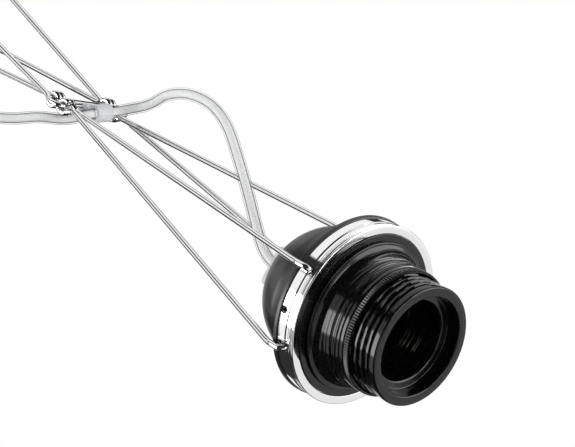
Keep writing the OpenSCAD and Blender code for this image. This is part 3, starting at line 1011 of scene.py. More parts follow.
ROD_STEEL = WireFinish("rod_steel_polished", (0.8, 0.8, 0.81), "rod_steel", 1.0, 0.035, 0.02,
                       bump=0.008, scale=40.0, streaks=0.2)
LINK_CHROME = WireFinish("link_chrome_plate", (0.86, 0.86, 0.87), "link_chrome", 1.0, 0.04, 0.02,
                         bump=0.01, scale=70.0, streaks=0.2)
RING_CHROME = Finish("ring_chrome_plate", (0.88, 0.88, 0.89), "ring_chrome", 1.0, 0.045, 0.04,
                     bump=0.015, scale=45.0, streaks=0.35)
CAP_BLACK = SatinPaint("cap_satin_black", (0.008, 0.008, 0.0085), "cap_black", 0.0, 0.36, 0.08,
                       bump=0.04, scale=30.0, specular=0.6)
BARREL_BLACK = Finish("barrel_black_gloss", (0.002, 0.002, 0.0022), "black_gloss", 0.0, 0.12, 0.06,
                      bump=0.03, scale=80.0, specular=0.37)
SCREW_STEEL = Finish("screw_zinc", (0.62, 0.62, 0.64), "screw_steel", 1.0, 0.25, 0.12)
DARK_STEEL = Finish("grub_dark", (0.02, 0.02, 0.021), "dark_steel", 0.6, 0.35, 0.1)
# The contact block is drawn near black, as dark as the inside of the mouth
BLOCK_DARK = Finish("contact_block_near_black", (0.012, 0.011, 0.01), "block_white", 0.0, 0.4, 0.1,
                    scale=25.0, specular=0.3)
BRASS = Finish("brass_contact_plated", (0.66, 0.61, 0.5), "brass", 1.0, 0.22, 0.1)
CORE_BROWN = Finish("core_brown_pvc", (0.17, 0.075, 0.035), "core_brown", 0.0, 0.42, 0.08)
CORE_BLUE = Finish("core_blue_pvc", (0.03, 0.09, 0.3), "core_blue", 0.0, 0.42, 0.08)
CLIP_GREY = ClearFinish("clip_milky", (0.6, 0.61, 0.62), "clip_plastic", 0.0, 0.3, 0.08,
                        face_alpha=0.88, rim_alpha=0.96, specular=0.3)
GRIP_CLEAR = ClearFinish("grip_clear", (0.7, 0.71, 0.72), "clear_plastic", 0.0, 0.12, 0.06,
                         face_alpha=0.5, rim_alpha=0.85, specular=0.3)
# The jacket's dark colour shows only at its rim, where it paints the dark edge lines of refraction:
# painted shade
JACKET = ClearFinish("cord_clear_jacket", (0.16, 0.163, 0.167), "cord_jacket", 0.0, 0.14, 0.05,
                     face_alpha=0.03, rim_alpha=0.85, rim_from=0.52, rim_to=0.76,
                     specular=0.3, tube=True)
# The braid's dark colour is what its rim darkens to (painted shade), and it shows a little between
# strands
BRAID = BraidFinish("cord_tinned_braid", (0.14, 0.143, 0.147), "cord_jacket", 0.0, 0.4, -0.1,
                    bump=0.25, shade=1.6, specular=0.3)
TIE_BLACK = SatinPaint("tie_black_loop", (0.014, 0.014, 0.015), "tie_black", 0.0, 0.8, 0.1,
                       bump=0.5, peel=3000.0)
FERRULE_TIN = Finish("ferrule_tin_plate", (0.66, 0.66, 0.66), "ferrule_tin", 1.0, 0.3, 0.1)


def dress(thing: bpy.types.Object, finish: Finish, body: Body | None,
          *replaced: str) -> bpy.types.Object:
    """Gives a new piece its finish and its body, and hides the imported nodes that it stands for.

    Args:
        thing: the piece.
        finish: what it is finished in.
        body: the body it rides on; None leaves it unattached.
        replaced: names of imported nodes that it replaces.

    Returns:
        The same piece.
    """
    thing.data.materials.clear()
    thing.data.materials.append(finish.build())
    if body is not None:
        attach(thing, body.value)
    if replaced:
        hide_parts(*replaced)
    log.info("%s: %d faces, %s", thing.name, len(thing.data.polygons), finish.name)
    return thing


# ---- Rods ----


@dataclass
class Rods:
    """The eight hooked rods: four from the ceiling to the link, four from it to the ring."""

    radius: float = 1.0
    eye_radius: float = 2.2
    eye_half: float = 1.15
    neck: float = 4.4
    bend: float = 2.2
    hook_turn: float = 2.6
    hook_az: float = 25.4
    stub_in: float = 25.7
    knee_r: float = 31.36
    hook_z: float = 3.4
    knee_z: float = 9.4
    pitch: float = 28.7
    link_h: float = 7.0
    upper_in: float = 2.8
    upper_out: float = 5.6
    hook_pitch: float = 24.6
    hook_len: float = 6.0
    eye_turn: tuple[float, float, float] = (-50.0, 217.0, 7.0)  # from, to and step, in degrees
    bend_steps: int = 7
    sides: int = 24

    def eye(self, x: float, z: float, up: int, side: int) -> Array:
        """Points of an eye round a bar at (x, z) of the link.

        At angle a the point is (x, side r cos a, z - up r sin a), for a from -50 to 216 degrees.

        Args:
            x: the eye's place along the bar.
            z: the bar's height in the link.
            up: 1 where the rod comes from above, -1 from below.
            side: the side on which the eye closes.

        Returns:
            An (n, 3) line.
        """
        a = np.radians(np.arange(*self.eye_turn))
        loop = np.stack([np.full_like(a, x), side * self.eye_radius * np.cos(a),
                         z - up * self.eye_radius * np.sin(a)], -1)
        return LINKED.put(loop)

    def ring_point(self, az: float, r: float, z: float) -> Array:
        """A point of the hook ring's frame from azimuth, radius and height."""
        a = math.radians(az + self.hook_turn)
        return HELD.put(np.array([r * math.cos(a), r * math.sin(a), z]))

    def bail(self, az: float, x: float, side: int) -> Array:
        """A lower rod's line, from its stub in the ring to its eye on the lower bar.

        Args:
            az: azimuth of its hook in the ring, in degrees.
            x: its eye's place along the lower bar.
            side: the side on which the eye closes.

        Returns:
            An (n, 3) line.
        """
        loop = self.eye(x, 0.0, -1, side)
        corners = [self.ring_point(az, self.stub_in, self.hook_z),
                   self.ring_point(az, self.knee_r, self.hook_z),
                   self.ring_point(az, self.knee_r, self.knee_z),
                   LINKED.put(np.array([x, 0.0, -self.neck])), loop[0], loop[1]]
        return np.concatenate([bent(np.array(corners), self.bend, self.bend_steps)[:-1], loop[1:]])

    def stay(self, x: float, y: float, side: int) -> Array:
        """An upper rod's line, from its bent end at the ceiling to its eye on the upper bar.

        Args:
            x: its eye's place along the upper bar.
            y: where its top stands, front to back.
            side: the side on which the eye closes.

        Returns:
            An (n, 3) line.
        """
        loop = self.eye(x, self.link_h, 1, side)
        top = LINKED.put(np.array([x, 0.0, self.link_h])) + np.array([0.0, 0.0, self.neck])
        turn = math.copysign(self.hook_len, y)
        corners = [np.array([top[0], y - turn, 0.0]), np.array([top[0], y, 0.0]), top,
                   loop[0], loop[1]]
        return np.concatenate([bent(np.array(corners), self.bend, self.bend_steps)[:-1], loop[1:]])

    def rod(self, name: str, line: Array, body: Body) -> bpy.types.Object:
        """One rod with eased ends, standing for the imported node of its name."""
        path, radii = ends_eased(line, self.radius)
        return dress(sweep(name + "_bar", path, radii, self.sides, uv=True), ROD_STEEL, body, name)

    def build(self) -> list[bpy.types.Object]:
        """Makes the eight rods.

        Returns:
            The rods.
        """
        h, half, far = self.eye_half, self.hook_pitch / 2, self.pitch + self.upper_out
        stays = (("e", far + h, -half, 1), ("f", self.upper_in - h, -half, 1),
                 ("g", far - h, half, -1), ("h", self.upper_in + h, half, -1))
        bails = (("a", 180 - self.hook_az, -h, 1, Body.BAIL_LEFT),
                 ("b", 180 + self.hook_az, h, -1, Body.BAIL_LEFT),
                 ("c", self.hook_az, self.pitch + h, 1, Body.BAIL_RIGHT),
                 ("d", -self.hook_az, self.pitch - h, -1, Body.BAIL_RIGHT))
        made = [self.rod(f"stay_rod_{key}", self.stay(x, y, side), Body.HANGER)
                for key, x, y, side in stays]
        return made + [self.rod(f"bail_rod_{key}", self.bail(az, x, side), body)
                       for key, az, x, side, body in bails]


# ---- Link and clip ----


@dataclass
class Link:
    """The oblong chrome link and the milky clip that ties the cord to it."""

    bar_r: float = 0.9
    left: float = -3.6
    right: float = 37.9
    height: float = 7.0
    bend: float = 1.9
    wide: float = 3.3
    clip_in: tuple[float, float, float] = (11.4, 0.1, -3.7)
    clip_out: tuple[float, float, float] = (18.8, -1.7, -5.1)
    clip_x: float = 14.6
    clip_w: float = 7.0
    band: float = 1.1
    cord_r: float = 2.1
    room: float = 0.03
    reach: float = 3.0
    slit: tuple[float, float] = (0.45, 4.0)  # half width and height
    web_in: float = 0.3
    web_y: tuple[float, float] = (-1.6, 0.6)
    web_z: tuple[float, float] = (-3.2, 0.0)
    web_edge: float = 0.4
    rounding: float = 0.5
    sides: int = 28

    def outline(self) -> Array:
        """The link's centre line: straight bars joined by quarter circles.

        Each corner's circle has its centre one bend radius in from both bars.

        Returns:
            A closed (n, 3) line in the link's frame.
        """
        turns = [(self.right, 0.0, self.bend, 270.0), (self.right, self.height, self.bend, 0.0),
                 (self.left, self.height, self.wide, 90.0), (self.left, 0.0, self.bend, 180.0)]
        parts: list[Array] = []
        for x, z, r, start in turns:
            cx = x - r if x == self.right else x + r
            cz = z + r if z == 0.0 else z - r
            a = np.radians(start + np.linspace(0.0, 90.0, 13))
            parts.append(np.stack([cx + r * np.cos(a), np.zeros_like(a), cz + r * np.sin(a)], -1))
        whole = [p for i, part in enumerate(parts) for p in
                 (part, self.between(part[-1], parts[(i + 1) % 4][0]))]
        return np.concatenate(whole)

    @staticmethod
    def between(a: Array, b: Array, step: float = 1.5) -> Array:
        """Evenly spaced points strictly between two points.

        Args:
            a: the first point.
            b: the second point.
            step: the distance wanted between points.

        Returns:
            The points, without a and b.
        """
        count = max(1, int(np.linalg.norm(b - a) / step))
        t = np.linspace(0.0, 1.0, count + 2)[1:-1, None]
        return a + (b - a) * t

    def ring(self) -> bpy.types.Object:
        """The chrome link as one closed bar.

        Returns:
            The link.
        """
        line = LINKED.put(self.outline())
        return dress(sweep("link_ring_bar", line, self.bar_r, self.sides, closed=True, uv=True),
                     LINK_CHROME, Body.LINK, "link_ring")

    def clip(self) -> bpy.types.Object:
        """The clip: a band round the cord, a saddle on the bar and a web that joins them.

        Returns:
            The clip.
        """
        a, b = np.array(self.clip_in), np.array(self.clip_out)
        mid, along = (a + b) / 2, unit(b - a)
        half = self.clip_w / 2
        cord_line = np.stack([mid - along * half, mid, mid + along * half])
        band = self.stub("cord_band", cord_line, self.cord_r + self.band)
        bar_line = np.array([[self.clip_x - half, 0, 0], [self.clip_x, 0, 0],
                             [self.clip_x + half, 0, 0]], float)
        saddle = self.stub("bar_band", bar_line, self.bar_r + self.band)
        combine(band, [saddle, self.web()], Blend.FUSE)
        far, past = along * (half + self.reach), np.array([self.reach, 0, 0])
        wide, high = self.slit
        slit = self.box("slit", (self.clip_x - 2 * self.reach, self.clip_x + 2 * self.reach),
                        (-wide, wide), (0.2, high))
        combine(band, [post("bore", LINKED, mid - far, mid + far, self.cord_r + self.room),
                       post("groove", LINKED, bar_line[0] - past, bar_line[2] + past,
                            self.bar_r + self.room), slit], Blend.CUT)
        band.name = "cord_clip_band"
        return dress(band, CLIP_GREY, Body.LINK, "cord_clip")

    def stub(self, name: str, line: Array, radius: float) -> bpy.types.Object:
        """A short rod with rounded rims, in the link's frame."""
        path, radii = ends_eased(line, radius, self.rounding, 6)
        return sweep(name, LINKED.put(path), radii, 48)

    def box(self, name: str, xs: tuple[float, float], ys: tuple[float, float],
            zs: tuple[float, float]) -> bpy.types.Object:
        """A plain block in the link's frame, used as a cutter or a web.

        Args:
            name: the block's name.
            xs: its ends along the bar.
            ys: its ends across.
            zs: its ends in height.

        Returns:
            The block.
        """
        grid = np.array([[x, y, z] for x in xs for y in ys for z in zs])
        faces = [(0, 1, 3, 2), (4, 6, 7, 5), (0, 4, 5, 1), (2, 3, 7, 6), (0, 2, 6, 4), (1, 5, 7, 3)]
        return mesh_object(name, LINKED.put(grid), faces)

    def web(self) -> bpy.types.Object:
        """The web between the band and the saddle, with its long edges bevelled.

        Returns:
            The web.
        """
        ends = (self.clip_x - self.clip_w / 2 + self.web_in,
                self.clip_x + self.clip_w / 2 - self.web_in)
        web = self.box("web", ends, self.web_y, self.web_z)
        bevel = web.modifiers.new("ease", "BEVEL")
        bevel.width, bevel.segments = self.web_edge * MM, 3
        apply_modifier(web, bevel)
        return web

    def build(self) -> list[bpy.types.Object]:
        """Makes the link and the clip."""
        return [self.ring(), self.clip()]


# ---- Cord ----


class FarEnd(Enum):
    """What a cord's far end is."""

    BARE = "bare"
    OBJECT = "object"


class Lay(Enum):
    """How a cord lies."""

    COILED = "coiled"
    HANGING = "hanging"


@dataclass
class Cord:
    """The jacketed cord: coil, feed and slack loop, with the coil's tie and the bare cores."""

    diameter: float = 4.2
    braid_r: float = 1.62
    coil_r: float = 21.0
    loops: int = 8
    gap: float = 0.5
    start: float = 200.0
    step: float = 1.3
    jacket_sides: int = 24
    braid_sides: int = 20
    route_steps: int = 10
    route_step: float = 1.0
    feed_passes: int = 32
    slack_passes: int = 24
    turn_points: int = 96
    straight: float = 3.0
    lead: float = 2.4
    feed: tuple[tuple[float, float, float], ...] = (
        (-59.4, 14.2, -72.0), (-57.0, 13.2, -84.0), (-53.5, 12.2, -97.0), (-48.4, 10.8, -108.6),
        (-42.4, 9.3, -118.0), (-35.6, 7.3, -124.6), (-28.6, 6.3, -126.2), (-22.6, 4.9, -125.6))
    slack: tuple[tuple[float, float, float], ...] = (
        (12.4, -2.1, -127.0), (14.4, -4.7, -131.6), (14.4, -8.7, -138.4), (12.4, -13.9, -147.0),
        (10.4, -18.5, -158.0), (8.4, -21.7, -169.0), (6.4, -23.7, -179.0), (4.4, -24.9, -189.0),
        (2.4, -25.2, -197.0), (0.4, -24.7, -206.0), (-1.6, -22.9, -215.0), (-3.8, -19.5, -225.0),
        (-6.2, -14.7, -237.0), (-8.4, -9.9, -248.0), (-10.2, -5.3, -257.6))
    meeting: int = 8  # the slack point at which the two lengths meet
    by_link: tuple[tuple[float, float, float], ...] = (
        (-2.0, 5.8, 3.9), (1.7, 5.7, 2.4), (5.0, 4.1, -0.3))
    foot: tuple[tuple[float, float, float], ...] = ((0.2, -1.6, 46.0), (0.0, 0.0, 38.02))
    tie_room: float = 0.4
    tie_gap: float = 0.5
    tie_past: float = 2.9
    tie_round: float = 1.6
    tie_section: tuple[float, float] = (0.48, 2.0)  # half thickness and half width
    core_r: float = 0.85
    core_len: float = 12.0
    ferrule: tuple[float, float, float] = (4.6, 5.4, 0.72)  # its neck: from, to, radius
    link: Link = field(default_factory=Link)

    @property
    def pitch(self) -> float:
        """Distance between neighbouring turns of the coil."""
        return self.diameter + self.gap

    @property
    def turn_back(self) -> float:
        """The turn at which the coil's inner layer ends and its outer one comes back."""
        return self.loops / 2 + 0.5

    def coil(self, s: Array) -> Array:
        """Points of the coil at turn number s.

        The radius goes from the inner layer's to the outer one's by a smooth step about the
        turn-back; the height rises a pitch a turn up to it and falls after it.

        Args:
            s: turn numbers, from 0 at the bare end.

        Returns:
            An (n, 3) array in the coil's frame.
        """
        a = np.radians(self.start + 360 * s)
        t = np.clip((s - self.turn_back + 0.25) / 0.5, 0, 1)
        r = self.coil_r + self.pitch * t * t * (3 - 2 * t)
        high = np.where(s < self.turn_back, -1 + s, -1 + 2 * self.turn_back - s)
        return np.stack([r * np.cos(a), self.pitch * high, r * np.sin(a)], -1)

    def out(self) -> Array:
        """Direction in which the cord leaves the coil, in the coil's frame."""
        a = math.radians(self.start)
        return np.array([-math.sin(a), 0.0, math.cos(a)])

    def smooth(self, route: Array, passes: int) -> Array:
        """A cubic line through a route's points, evened out and relaxed."""
        return relaxed(evened(curve_through(route, self.route_steps), self.route_step), passes)

    def supply_line(self) -> Array:
        """From the clip, back along the feed and round the coil to the bare end.

        Returns:
            An (n, 3) line in the object's frame.
        """
        away = self.out()
        end = COILED.put(self.coil(np.array([float(self.loops)]))[0] + away * self.diameter)
        clip_in, clip_out = np.array(self.link.clip_in), np.array(self.link.clip_out)
        along = unit(clip_out - clip_in)
        by_link = LINKED.put(np.array([*self.by_link, clip_in - along * self.straight, clip_in]))
        route = np.concatenate([[end, end + COILED.turn(away) * self.lead], self.feed, by_link])
        feed = self.smooth(route, self.feed_passes)
        turns = COILED.put(self.coil(np.linspace(0, self.loops, self.loops * self.turn_points + 1)))
        tail = COILED.put(self.coil(np.array([0.0]))[0] - away * self.diameter)
        return np.concatenate([[tail], turns, feed])[::-1]

    def slack_line(self) -> Array:
        """From the clip's near side through it, down the slack loop and into the grip.

        Returns:
            An (n, 3) line in the object's frame.
        """
        clip_in, clip_out = np.array(self.link.clip_in), np.array(self.link.clip_out)
        along = unit(clip_out - clip_in)
        head = LINKED.put(np.array([clip_in, clip_out, clip_out + along * self.straight]))
        route = np.concatenate([head, self.slack, HELD.put(np.array(self.foot))])
        return self.smooth(route, self.slack_passes)

    def tube(self, name: str, line: Array) -> bpy.types.Object:
        """A braid inside a clear jacket, as one piece.

        Args:
            name: the piece's name.
            line: its centre line.

        Returns:
            The tube, with two materials.
        """
        path = evened(line, self.step)
        jacket = sweep(name, path, self.diameter / 2, self.jacket_sides, uv=True)
        jacket.data.materials.append(JACKET.build())
        braid = sweep(name + "_braid", path, self.braid_r, self.braid_sides, uv=True)
        braid.data.materials.append(BRAID.build())
        return join(name, [jacket, braid])

    def finish_cord(self, thing: bpy.types.Object,
                    with_pieces: Sequence[bpy.types.Object] = ()) -> bpy.types.Object:
        """Returns the tube unchanged.

        Args:
            thing: the tube.
            with_pieces: not used.

        Returns:
            The same tube.
        """
        return thing

    def supply(self) -> bpy.types.Object:
        """The cord from the clip back to its bare end.

        Returns:
            The cord from the clip to the coil.
        """
        line = self.supply_line()
        thing = self.tube("cord_supply", line)
        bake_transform(thing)
        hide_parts("cord_feed", "cord_coil")
        return self.finish_cord(thing, [self.tie(), self.cores()])

    def slack_halves(self) -> list[bpy.types.Object]:
        """The slack loop in two lengths, since it crosses two joints.

        Returns:
            The upper and the lower length.
        """
        line = self.slack_line()
        mid = int(np.argmin(np.linalg.norm(line - np.array(self.slack[self.meeting]), axis=1)))
        upper = self.tube("cord_slack_upper", line[:mid + 1])
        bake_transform(upper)
        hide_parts("cord_slack")
        lower = self.tube("cord_slack_lower", line[mid:])
        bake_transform(lower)
        self.finish_cord(upper)
        self.finish_cord(lower)
        return [upper, lower]

    def tie(self) -> bpy.types.Object:
        """A flat black strap round the coil's side and the rod beside it.

        Returns:
            The strap.
        """
        half, gap = self.diameter / 2, self.tie_gap
        x0 = self.coil_r - half - self.tie_room
        x1 = self.coil_r + self.pitch + half + self.tie_room
        y0 = -self.pitch * 0.6 - half - self.tie_past
        y1 = self.pitch * (self.turn_back - 1) + half + gap
        corners = [(x0 - gap, y0 - gap, self.tie_round), (x1 + gap, y0 - gap, self.tie_round),
                   (x1 + gap, y1 + gap, self.tie_round), (x0 - gap, y1 + gap, self.tie_round)]
        flat = rounded_profile(corners, 8)
        loop = np.concatenate([flat, np.zeros((len(flat), 1))], 1)
        dense = evened(np.concatenate([loop, loop[:1]]), 0.5)[:-1]
        band = sweep("cord_tie_strap", COILED.put(dense), 1.0, 16, closed=True,
                     squash=self.tie_section, up=COILED.turn(np.array([0.0, -1.0, 0.0])))
        return dress(band, TIE_BLACK, Body.HANGER, "cord_tie")

    def cores(self) -> bpy.types.Object:
        """The two bare cores at the cord's free end, each with a tinned ferrule.

        Returns:
            The two cores as one piece.
        """
        away = self.out()
        root = self.coil(np.array([0.0]))[0] - away * self.diameter
        parts = []
        low, high, neck_r = self.ferrule
        for i, side in enumerate((-1.0, 1.0)):
            base = root + np.array([0.0, side, 0.0])
            run = np.linspace(0.0, self.core_len, 25)[:, None]
            path, radii = ends_eased(COILED.put(base - away * run), self.core_r, 0.2, 4)
            down = np.linalg.norm(path - path[0], axis=1)
            radii = np.where((down > low) & (down < high), np.minimum(radii, neck_r), radii)
            parts.append(sweep(f"core_end_{i}", path, radii, 16))
        return dress(join("cord_tail_ferrules", parts), FERRULE_TIN, Body.HANGER, "cord_tail")

    def build(self) -> list[bpy.types.Object]:
        """Makes the cord's three lengths."""
        return [self.supply(), *self.slack_halves()]


# ---- Holder ----


@dataclass
class HookRing:
    """The chrome cup that the lower rods hook into, with its polished front band."""

    radius: float = 29.6
    wall: float = 1.4
    height: float = 7.15
    band_r: float = 27.3
    lip: float = 0.4
    web: tuple[float, float] = (0.7, 1.9)
    inner: float = 20.0
    hook_az: float = 25.4
    hook_turn: float = 2.6
    hook_z: float = 3.4
    hole_d: float = 2.6
    screw_z: float = 6.075
    screw_d: float = 2.8
    bead_z: float = 0.45
    hollow: tuple[float, float, float] = (0.5, 1.12, 1.85)  # depth, from, to
    groove: tuple[float, float, float] = (0.3, -0.6, 0.3)  # depth, from and to the hooks

    def outline(self) -> Array:
        """The cup's section: front band, bead, hollow, wall with a shallow groove, and web.

        Returns:
            A closed (n, 2) outline of radius and height.
        """
        r, edge, inside = self.radius, self.radius + self.lip, self.radius - self.wall
        z0, z1 = self.web
        deep, low, high = self.hollow
        cut, below, above = self.groove
        return rounded_profile([
            (self.band_r, 0.0, 0.12), (edge - 0.15, 0.0, 0.3), (edge, self.bead_z, 0.3),
            (r + 0.1, 0.98, 0.15), (r - deep, low, 0.35), (r - deep, high, 0.35),
            (r, 2.0, 0.08), (r, self.hook_z - 0.9, 0.08), (r - cut, self.hook_z + below, 0.1),
            (r - cut, self.hook_z + above, 0.1), (r, self.hook_z + 0.6, 0.08),
            (r, self.height, 0.15), (inside, self.height, 0.15), (inside, z1, 0.3),
            (self.inner, z1, 0.1), (self.inner, z0, 0.1), (self.band_r, z0, 0.1)], 5)

    def cutter(self, az: float, z: float, diameter: float) -> bpy.types.Object:
        """A round cutter through the wall at an azimuth and height.

        Args:
            az: azimuth in degrees.
            z: height in the holder's frame.
            diameter: the hole's diameter.

        Returns:
            The cutter.
        """
        a = math.radians(az)
        out = np.array([math.cos(a), math.sin(a), 0.0])
        lift = np.array([0.0, 0.0, z])
        return post(f"hole_{az:.0f}", HELD, out * (self.radius - 4) + lift,
                    out * (self.radius + 3) + lift, diameter / 2)

    def build(self) -> list[bpy.types.Object]:
        """Makes the cup with its four hook holes and two screw holes.

        Returns:
            The ring, in a list.
        """
        cup = lathe("hook_ring_cup", self.outline(), HELD, 288)
        hooks = [self.cutter(az + self.hook_turn, self.hook_z, self.hole_d)
                 for az in (self.hook_az, -self.hook_az, 180 - self.hook_az, 180 + self.hook_az)]
        screws = [self.cutter(az, self.screw_z, self.screw_d) for az in (0.0, 180.0)]
        combine(cup, hooks + screws, Blend.CUT)
        return [dress(cup, RING_CHROME, Body.HOLDER, "hook_ring")]


@dataclass
class DomeCap:
    """The satin black cap: skirt, rim, hollow flare and dome, open at the top for the cord."""

    rim_r: float = 30.0
    skirt_r: float = 28.05
    wall: float = 1.6
    rim_z: float = 7.2
    skirt_z: float = 5.0
    dome_r: float = 23.55
    dome_z: float = 11.8
    hole_r: float = 5.2
    join_angle: float = 16.0
    screw_z: float = 6.075
    screw_r: float = 1.4
    lip: float = 1.8
    ease: float = 0.5
    hollow: tuple[float, float] = (1.3, 0.9)  # the flare's wall, across and down

    def flare(self, t: Array) -> Array:
        """The flare between rim and dome, a quarter of an ellipse, at angle t in degrees.

        Args:
            t: angles in degrees, 0 at the rim and 90 at the dome.

        Returns:
            An (n, 2) array of radius and height.
        """
        a = math.radians(self.join_angle)
        lip = self.rim_z + self.lip
        wide = self.rim_r - self.ease - self.dome_r * math.cos(a)
        high = self.dome_z + self.dome_r * math.sin(a) - lip
        s = np.radians(t)
        return np.stack([self.rim_r - self.ease - wide * np.sin(s),
                         lip + high * (1 - np.cos(s))], -1)

    def dome(self, angles: Array, radius: float) -> Array:
        """Points of a circle about the dome's middle."""
        s = np.radians(angles)
        return np.stack([radius * np.cos(s), self.dome_z + radius * np.sin(s)], -1)

    def outline(self) -> Array:
        """The cap's section: outside from skirt to hole, then back down the inside.

        Returns:
            A closed (n, 2) outline of radius and height.
        """
        top = math.degrees(math.acos(self.hole_r / self.dome_r))
        inner = self.dome_r - self.wall
        top_in = math.degrees(math.acos(self.hole_r / inner))
        rim, inside_r = self.rim_z, self.skirt_r - self.wall
        skirt = rounded_profile([
            (self.skirt_r, self.skirt_z, 0.1), (self.skirt_r, rim, 0.0), (self.rim_r, rim, 0.35),
            (self.rim_r, rim + self.lip, 0.45), (self.rim_r - 0.9, rim + 1.85, 0.0),
            (inside_r, rim + 1.2, 0.0), (inside_r, self.skirt_z, 0.1)], 5)
        cut = int(np.argmax((skirt[:, 0] < self.rim_r - 0.55) & (skirt[:, 1] > self.rim_z + 1.7)))
        outside = np.concatenate([self.flare(np.arange(8.0, 90.0, 3.0)),
                                  self.dome(np.arange(self.join_angle + 1, top, 1.5), self.dome_r),
                                  self.dome(np.array([top]), self.dome_r)])
        inside = np.concatenate([self.dome(np.arange(top_in, self.join_angle + 6, -4.0), inner),
                                 self.flare(np.arange(72.0, 34.0, -8.0)) - self.hollow])
        return np.concatenate([skirt[:cut], outside, inside, skirt[cut + 1:]])

    def build(self) -> list[bpy.types.Object]:
        """Makes the cap and its two screw holes.

        Returns:
            The cap, in a list.
        """
        cap = lathe("dome_cap_shell", self.outline(), HELD, 256)
        cutters = []
        for i, sign in enumerate((1.0, -1.0)):
            a = np.array([sign * (self.skirt_r - 4), 0.0, self.screw_z])
            b = np.array([sign * (self.skirt_r + 1), 0.0, self.screw_z])
            cutters.append(post(f"cap_hole_{i}", HELD, a, b, self.screw_r))
        combine(cap, cutters, Blend.CUT)
        return [dress(cap, CAP_BLACK, Body.HOLDER, "dome_cap")]


@dataclass
class Grip:
    """The clear square cord grip on the cap."""

    width: float = 13.4
    height: float = 3.0
    base: float = 35.0
    turn: float = -70.8
    hole_r: float = 2.12
    pocket_r: float = 4.95
    pocket: float = 0.9
    squareness: float = 9.0

    def square(self, a: Array) -> Array:
        """Polar radius of a square with rounded corners, as a share of its half width.

        The radius is (|cos|^p + |sin|^p)^(-1/p), where p is the squareness.

        Args:
            a: angles in radians.

        Returns:
            The share at each angle.
        """
        b, p = a - math.radians(self.turn), self.squareness
        return (np.abs(np.cos(b)) ** p + np.abs(np.sin(b)) ** p) ** (-1 / p)

    def build(self) -> list[bpy.types.Object]:
        """Makes the grip with its hole and its pocket for the nipple.

        Returns:
            The grip, in a list.
        """
        half, low, high = self.width / 2, self.base, self.base + self.height
        outline = rounded_profile([
            (self.pocket_r, low, 0.1), (half, low, 0.3), (half, high, 0.45),
            (self.hole_r, high, 0.35), (self.hole_r, low + self.pocket, 0.1),
            (self.pocket_r, low + self.pocket, 0.1)], 5)

        def shape(r: Array, z: Array, a: Array) -> Array:
            """Outer points follow the square; the bore and pocket stay round.

            Args:
                r: the outline's radius.
                z: the height.
                a: the angle in radians.

            Returns:
                The new radius.
            """
            share = np.clip((r - self.pocket_r) / (half - self.pocket_r), 0, 1)
            outer = (z > low + self.pocket + 0.05) | (r > self.pocket_r + NEAR)
            squared = r * (1 + (self.square(a) - 1) * share)
            return np.where(outer & (r > self.pocket_r), squared, r)

        block = lathe("cord_grip_block", outline, HELD, 192, shape)
        return [dress(block, GRIP_CLEAR, Body.HOLDER, "cord_grip")]


@dataclass
class Barrel:
    """The black lamp barrel: a real thread, a rounded collar and a stepped mouth."""

    length: float = 25.5
    root_r: float = 18.6
    crest_r: float = 19.6
    pitch: float = 2.5
    collar_r: float = 19.8
    mouth_r: float = 16.5
    ledge_z: float = -20.7
    lamp_r: float = 13.3
    bore_r: float = 13.8
    rear_z: float = 12.0
    tube_r: float = 17.2
    flange_r: float = 24.1
    web_top: float = 1.9
    flange_t: float = 2.0
    barrel_r: float = 19.6
    facing: float = 199.0
    collar_z: tuple[float, float, float] = (2.7, 2.75, 2.8)  # collar, root, thread
    ledge_deep: float = 4.4
    thread_step: float = 0.14
    ridge: tuple[float, float] = (0.80, 0.42)  # half its foot, and its flank
    crest_z: float = -21.5

    def outline(self) -> Array:
        """The barrel's section, with closely spaced points along the thread.

        Returns:
            A closed (n, 2) outline of radius and height.
        """
        end, ledge = -self.length, self.ledge_z
        collar, root_end, thread_end = self.collar_z
        thread_z = np.arange(0.1, thread_end - self.length, -self.thread_step)
        thread = np.stack([np.full_like(thread_z, self.root_r), thread_z], -1)
        body = rounded_profile([
            (self.root_r, root_end + end, 0.1), (self.collar_r, collar + end, 0.7),
            (self.collar_r, end, 0.7), (self.mouth_r, end, 0.5),
            (self.mouth_r - 0.35, ledge, 0.35), (self.lamp_r, ledge, 0.9),
            (self.lamp_r, ledge + self.ledge_deep, 0.1),
            (self.bore_r, ledge + self.ledge_deep, 0.1),
            (self.bore_r, self.rear_z, 0.2), (self.tube_r, self.rear_z, 0.2),
            (self.tube_r, self.web_top + self.flange_t, 0.2),
            (self.flange_r, self.web_top + self.flange_t, 0.2),
            (self.flange_r, self.web_top + 0.1, 0.1), (self.barrel_r, self.web_top + 0.1, 0.1),
            (self.barrel_r, 0.2, 0.1), (self.root_r, 0.15, 0.0)], 5)
        return np.concatenate([body, thread])

    def thread(self, r: Array, z: Array, a: Array) -> Array:
        """Adds the thread's ridge to the points on the thread's root.

        The phase is (z - pitch (a - facing) / 360 - crest) / pitch. The ridge's height is a
        smooth trapezium of its distance from the nearest whole phase, and fades at both ends.

        Args:
            r: the outline's radius.
            z: the height.
            a: the angle in radians.

        Returns:
            The new radius.
        """
        end, (wide, flank) = self.collar_z[2], self.ridge
        on_root = np.isclose(r, self.root_r) & (z < 0.12) & (z > end - 0.02 - self.length)
        turn = (np.degrees(a) - self.facing) / 360
        phase = (z - self.pitch * turn - self.crest_z) / self.pitch
        away = np.abs(phase - np.round(phase)) * self.pitch
        ridge = np.clip((wide - away) / flank, 0, 1)
        ridge = ridge * ridge * (3 - 2 * ridge)
        fade = np.clip((z + self.length - end) / 0.5, 0, 1) * np.clip((0.1 - z) / 0.6, 0, 1)
        return np.where(on_root, r + (self.crest_r - self.root_r) * ridge * fade, r)

    def build(self) -> list[bpy.types.Object]:
        """Makes the barrel and the dark threaded sleeve inside it.

        Returns:
            The barrel and the sleeve.
        """
        body = lathe("barrel_body", self.outline(), HELD, 240, self.thread)
        return [dress(body, BARREL_BLACK, Body.HOLDER, "barrel"), LampShell().build()]


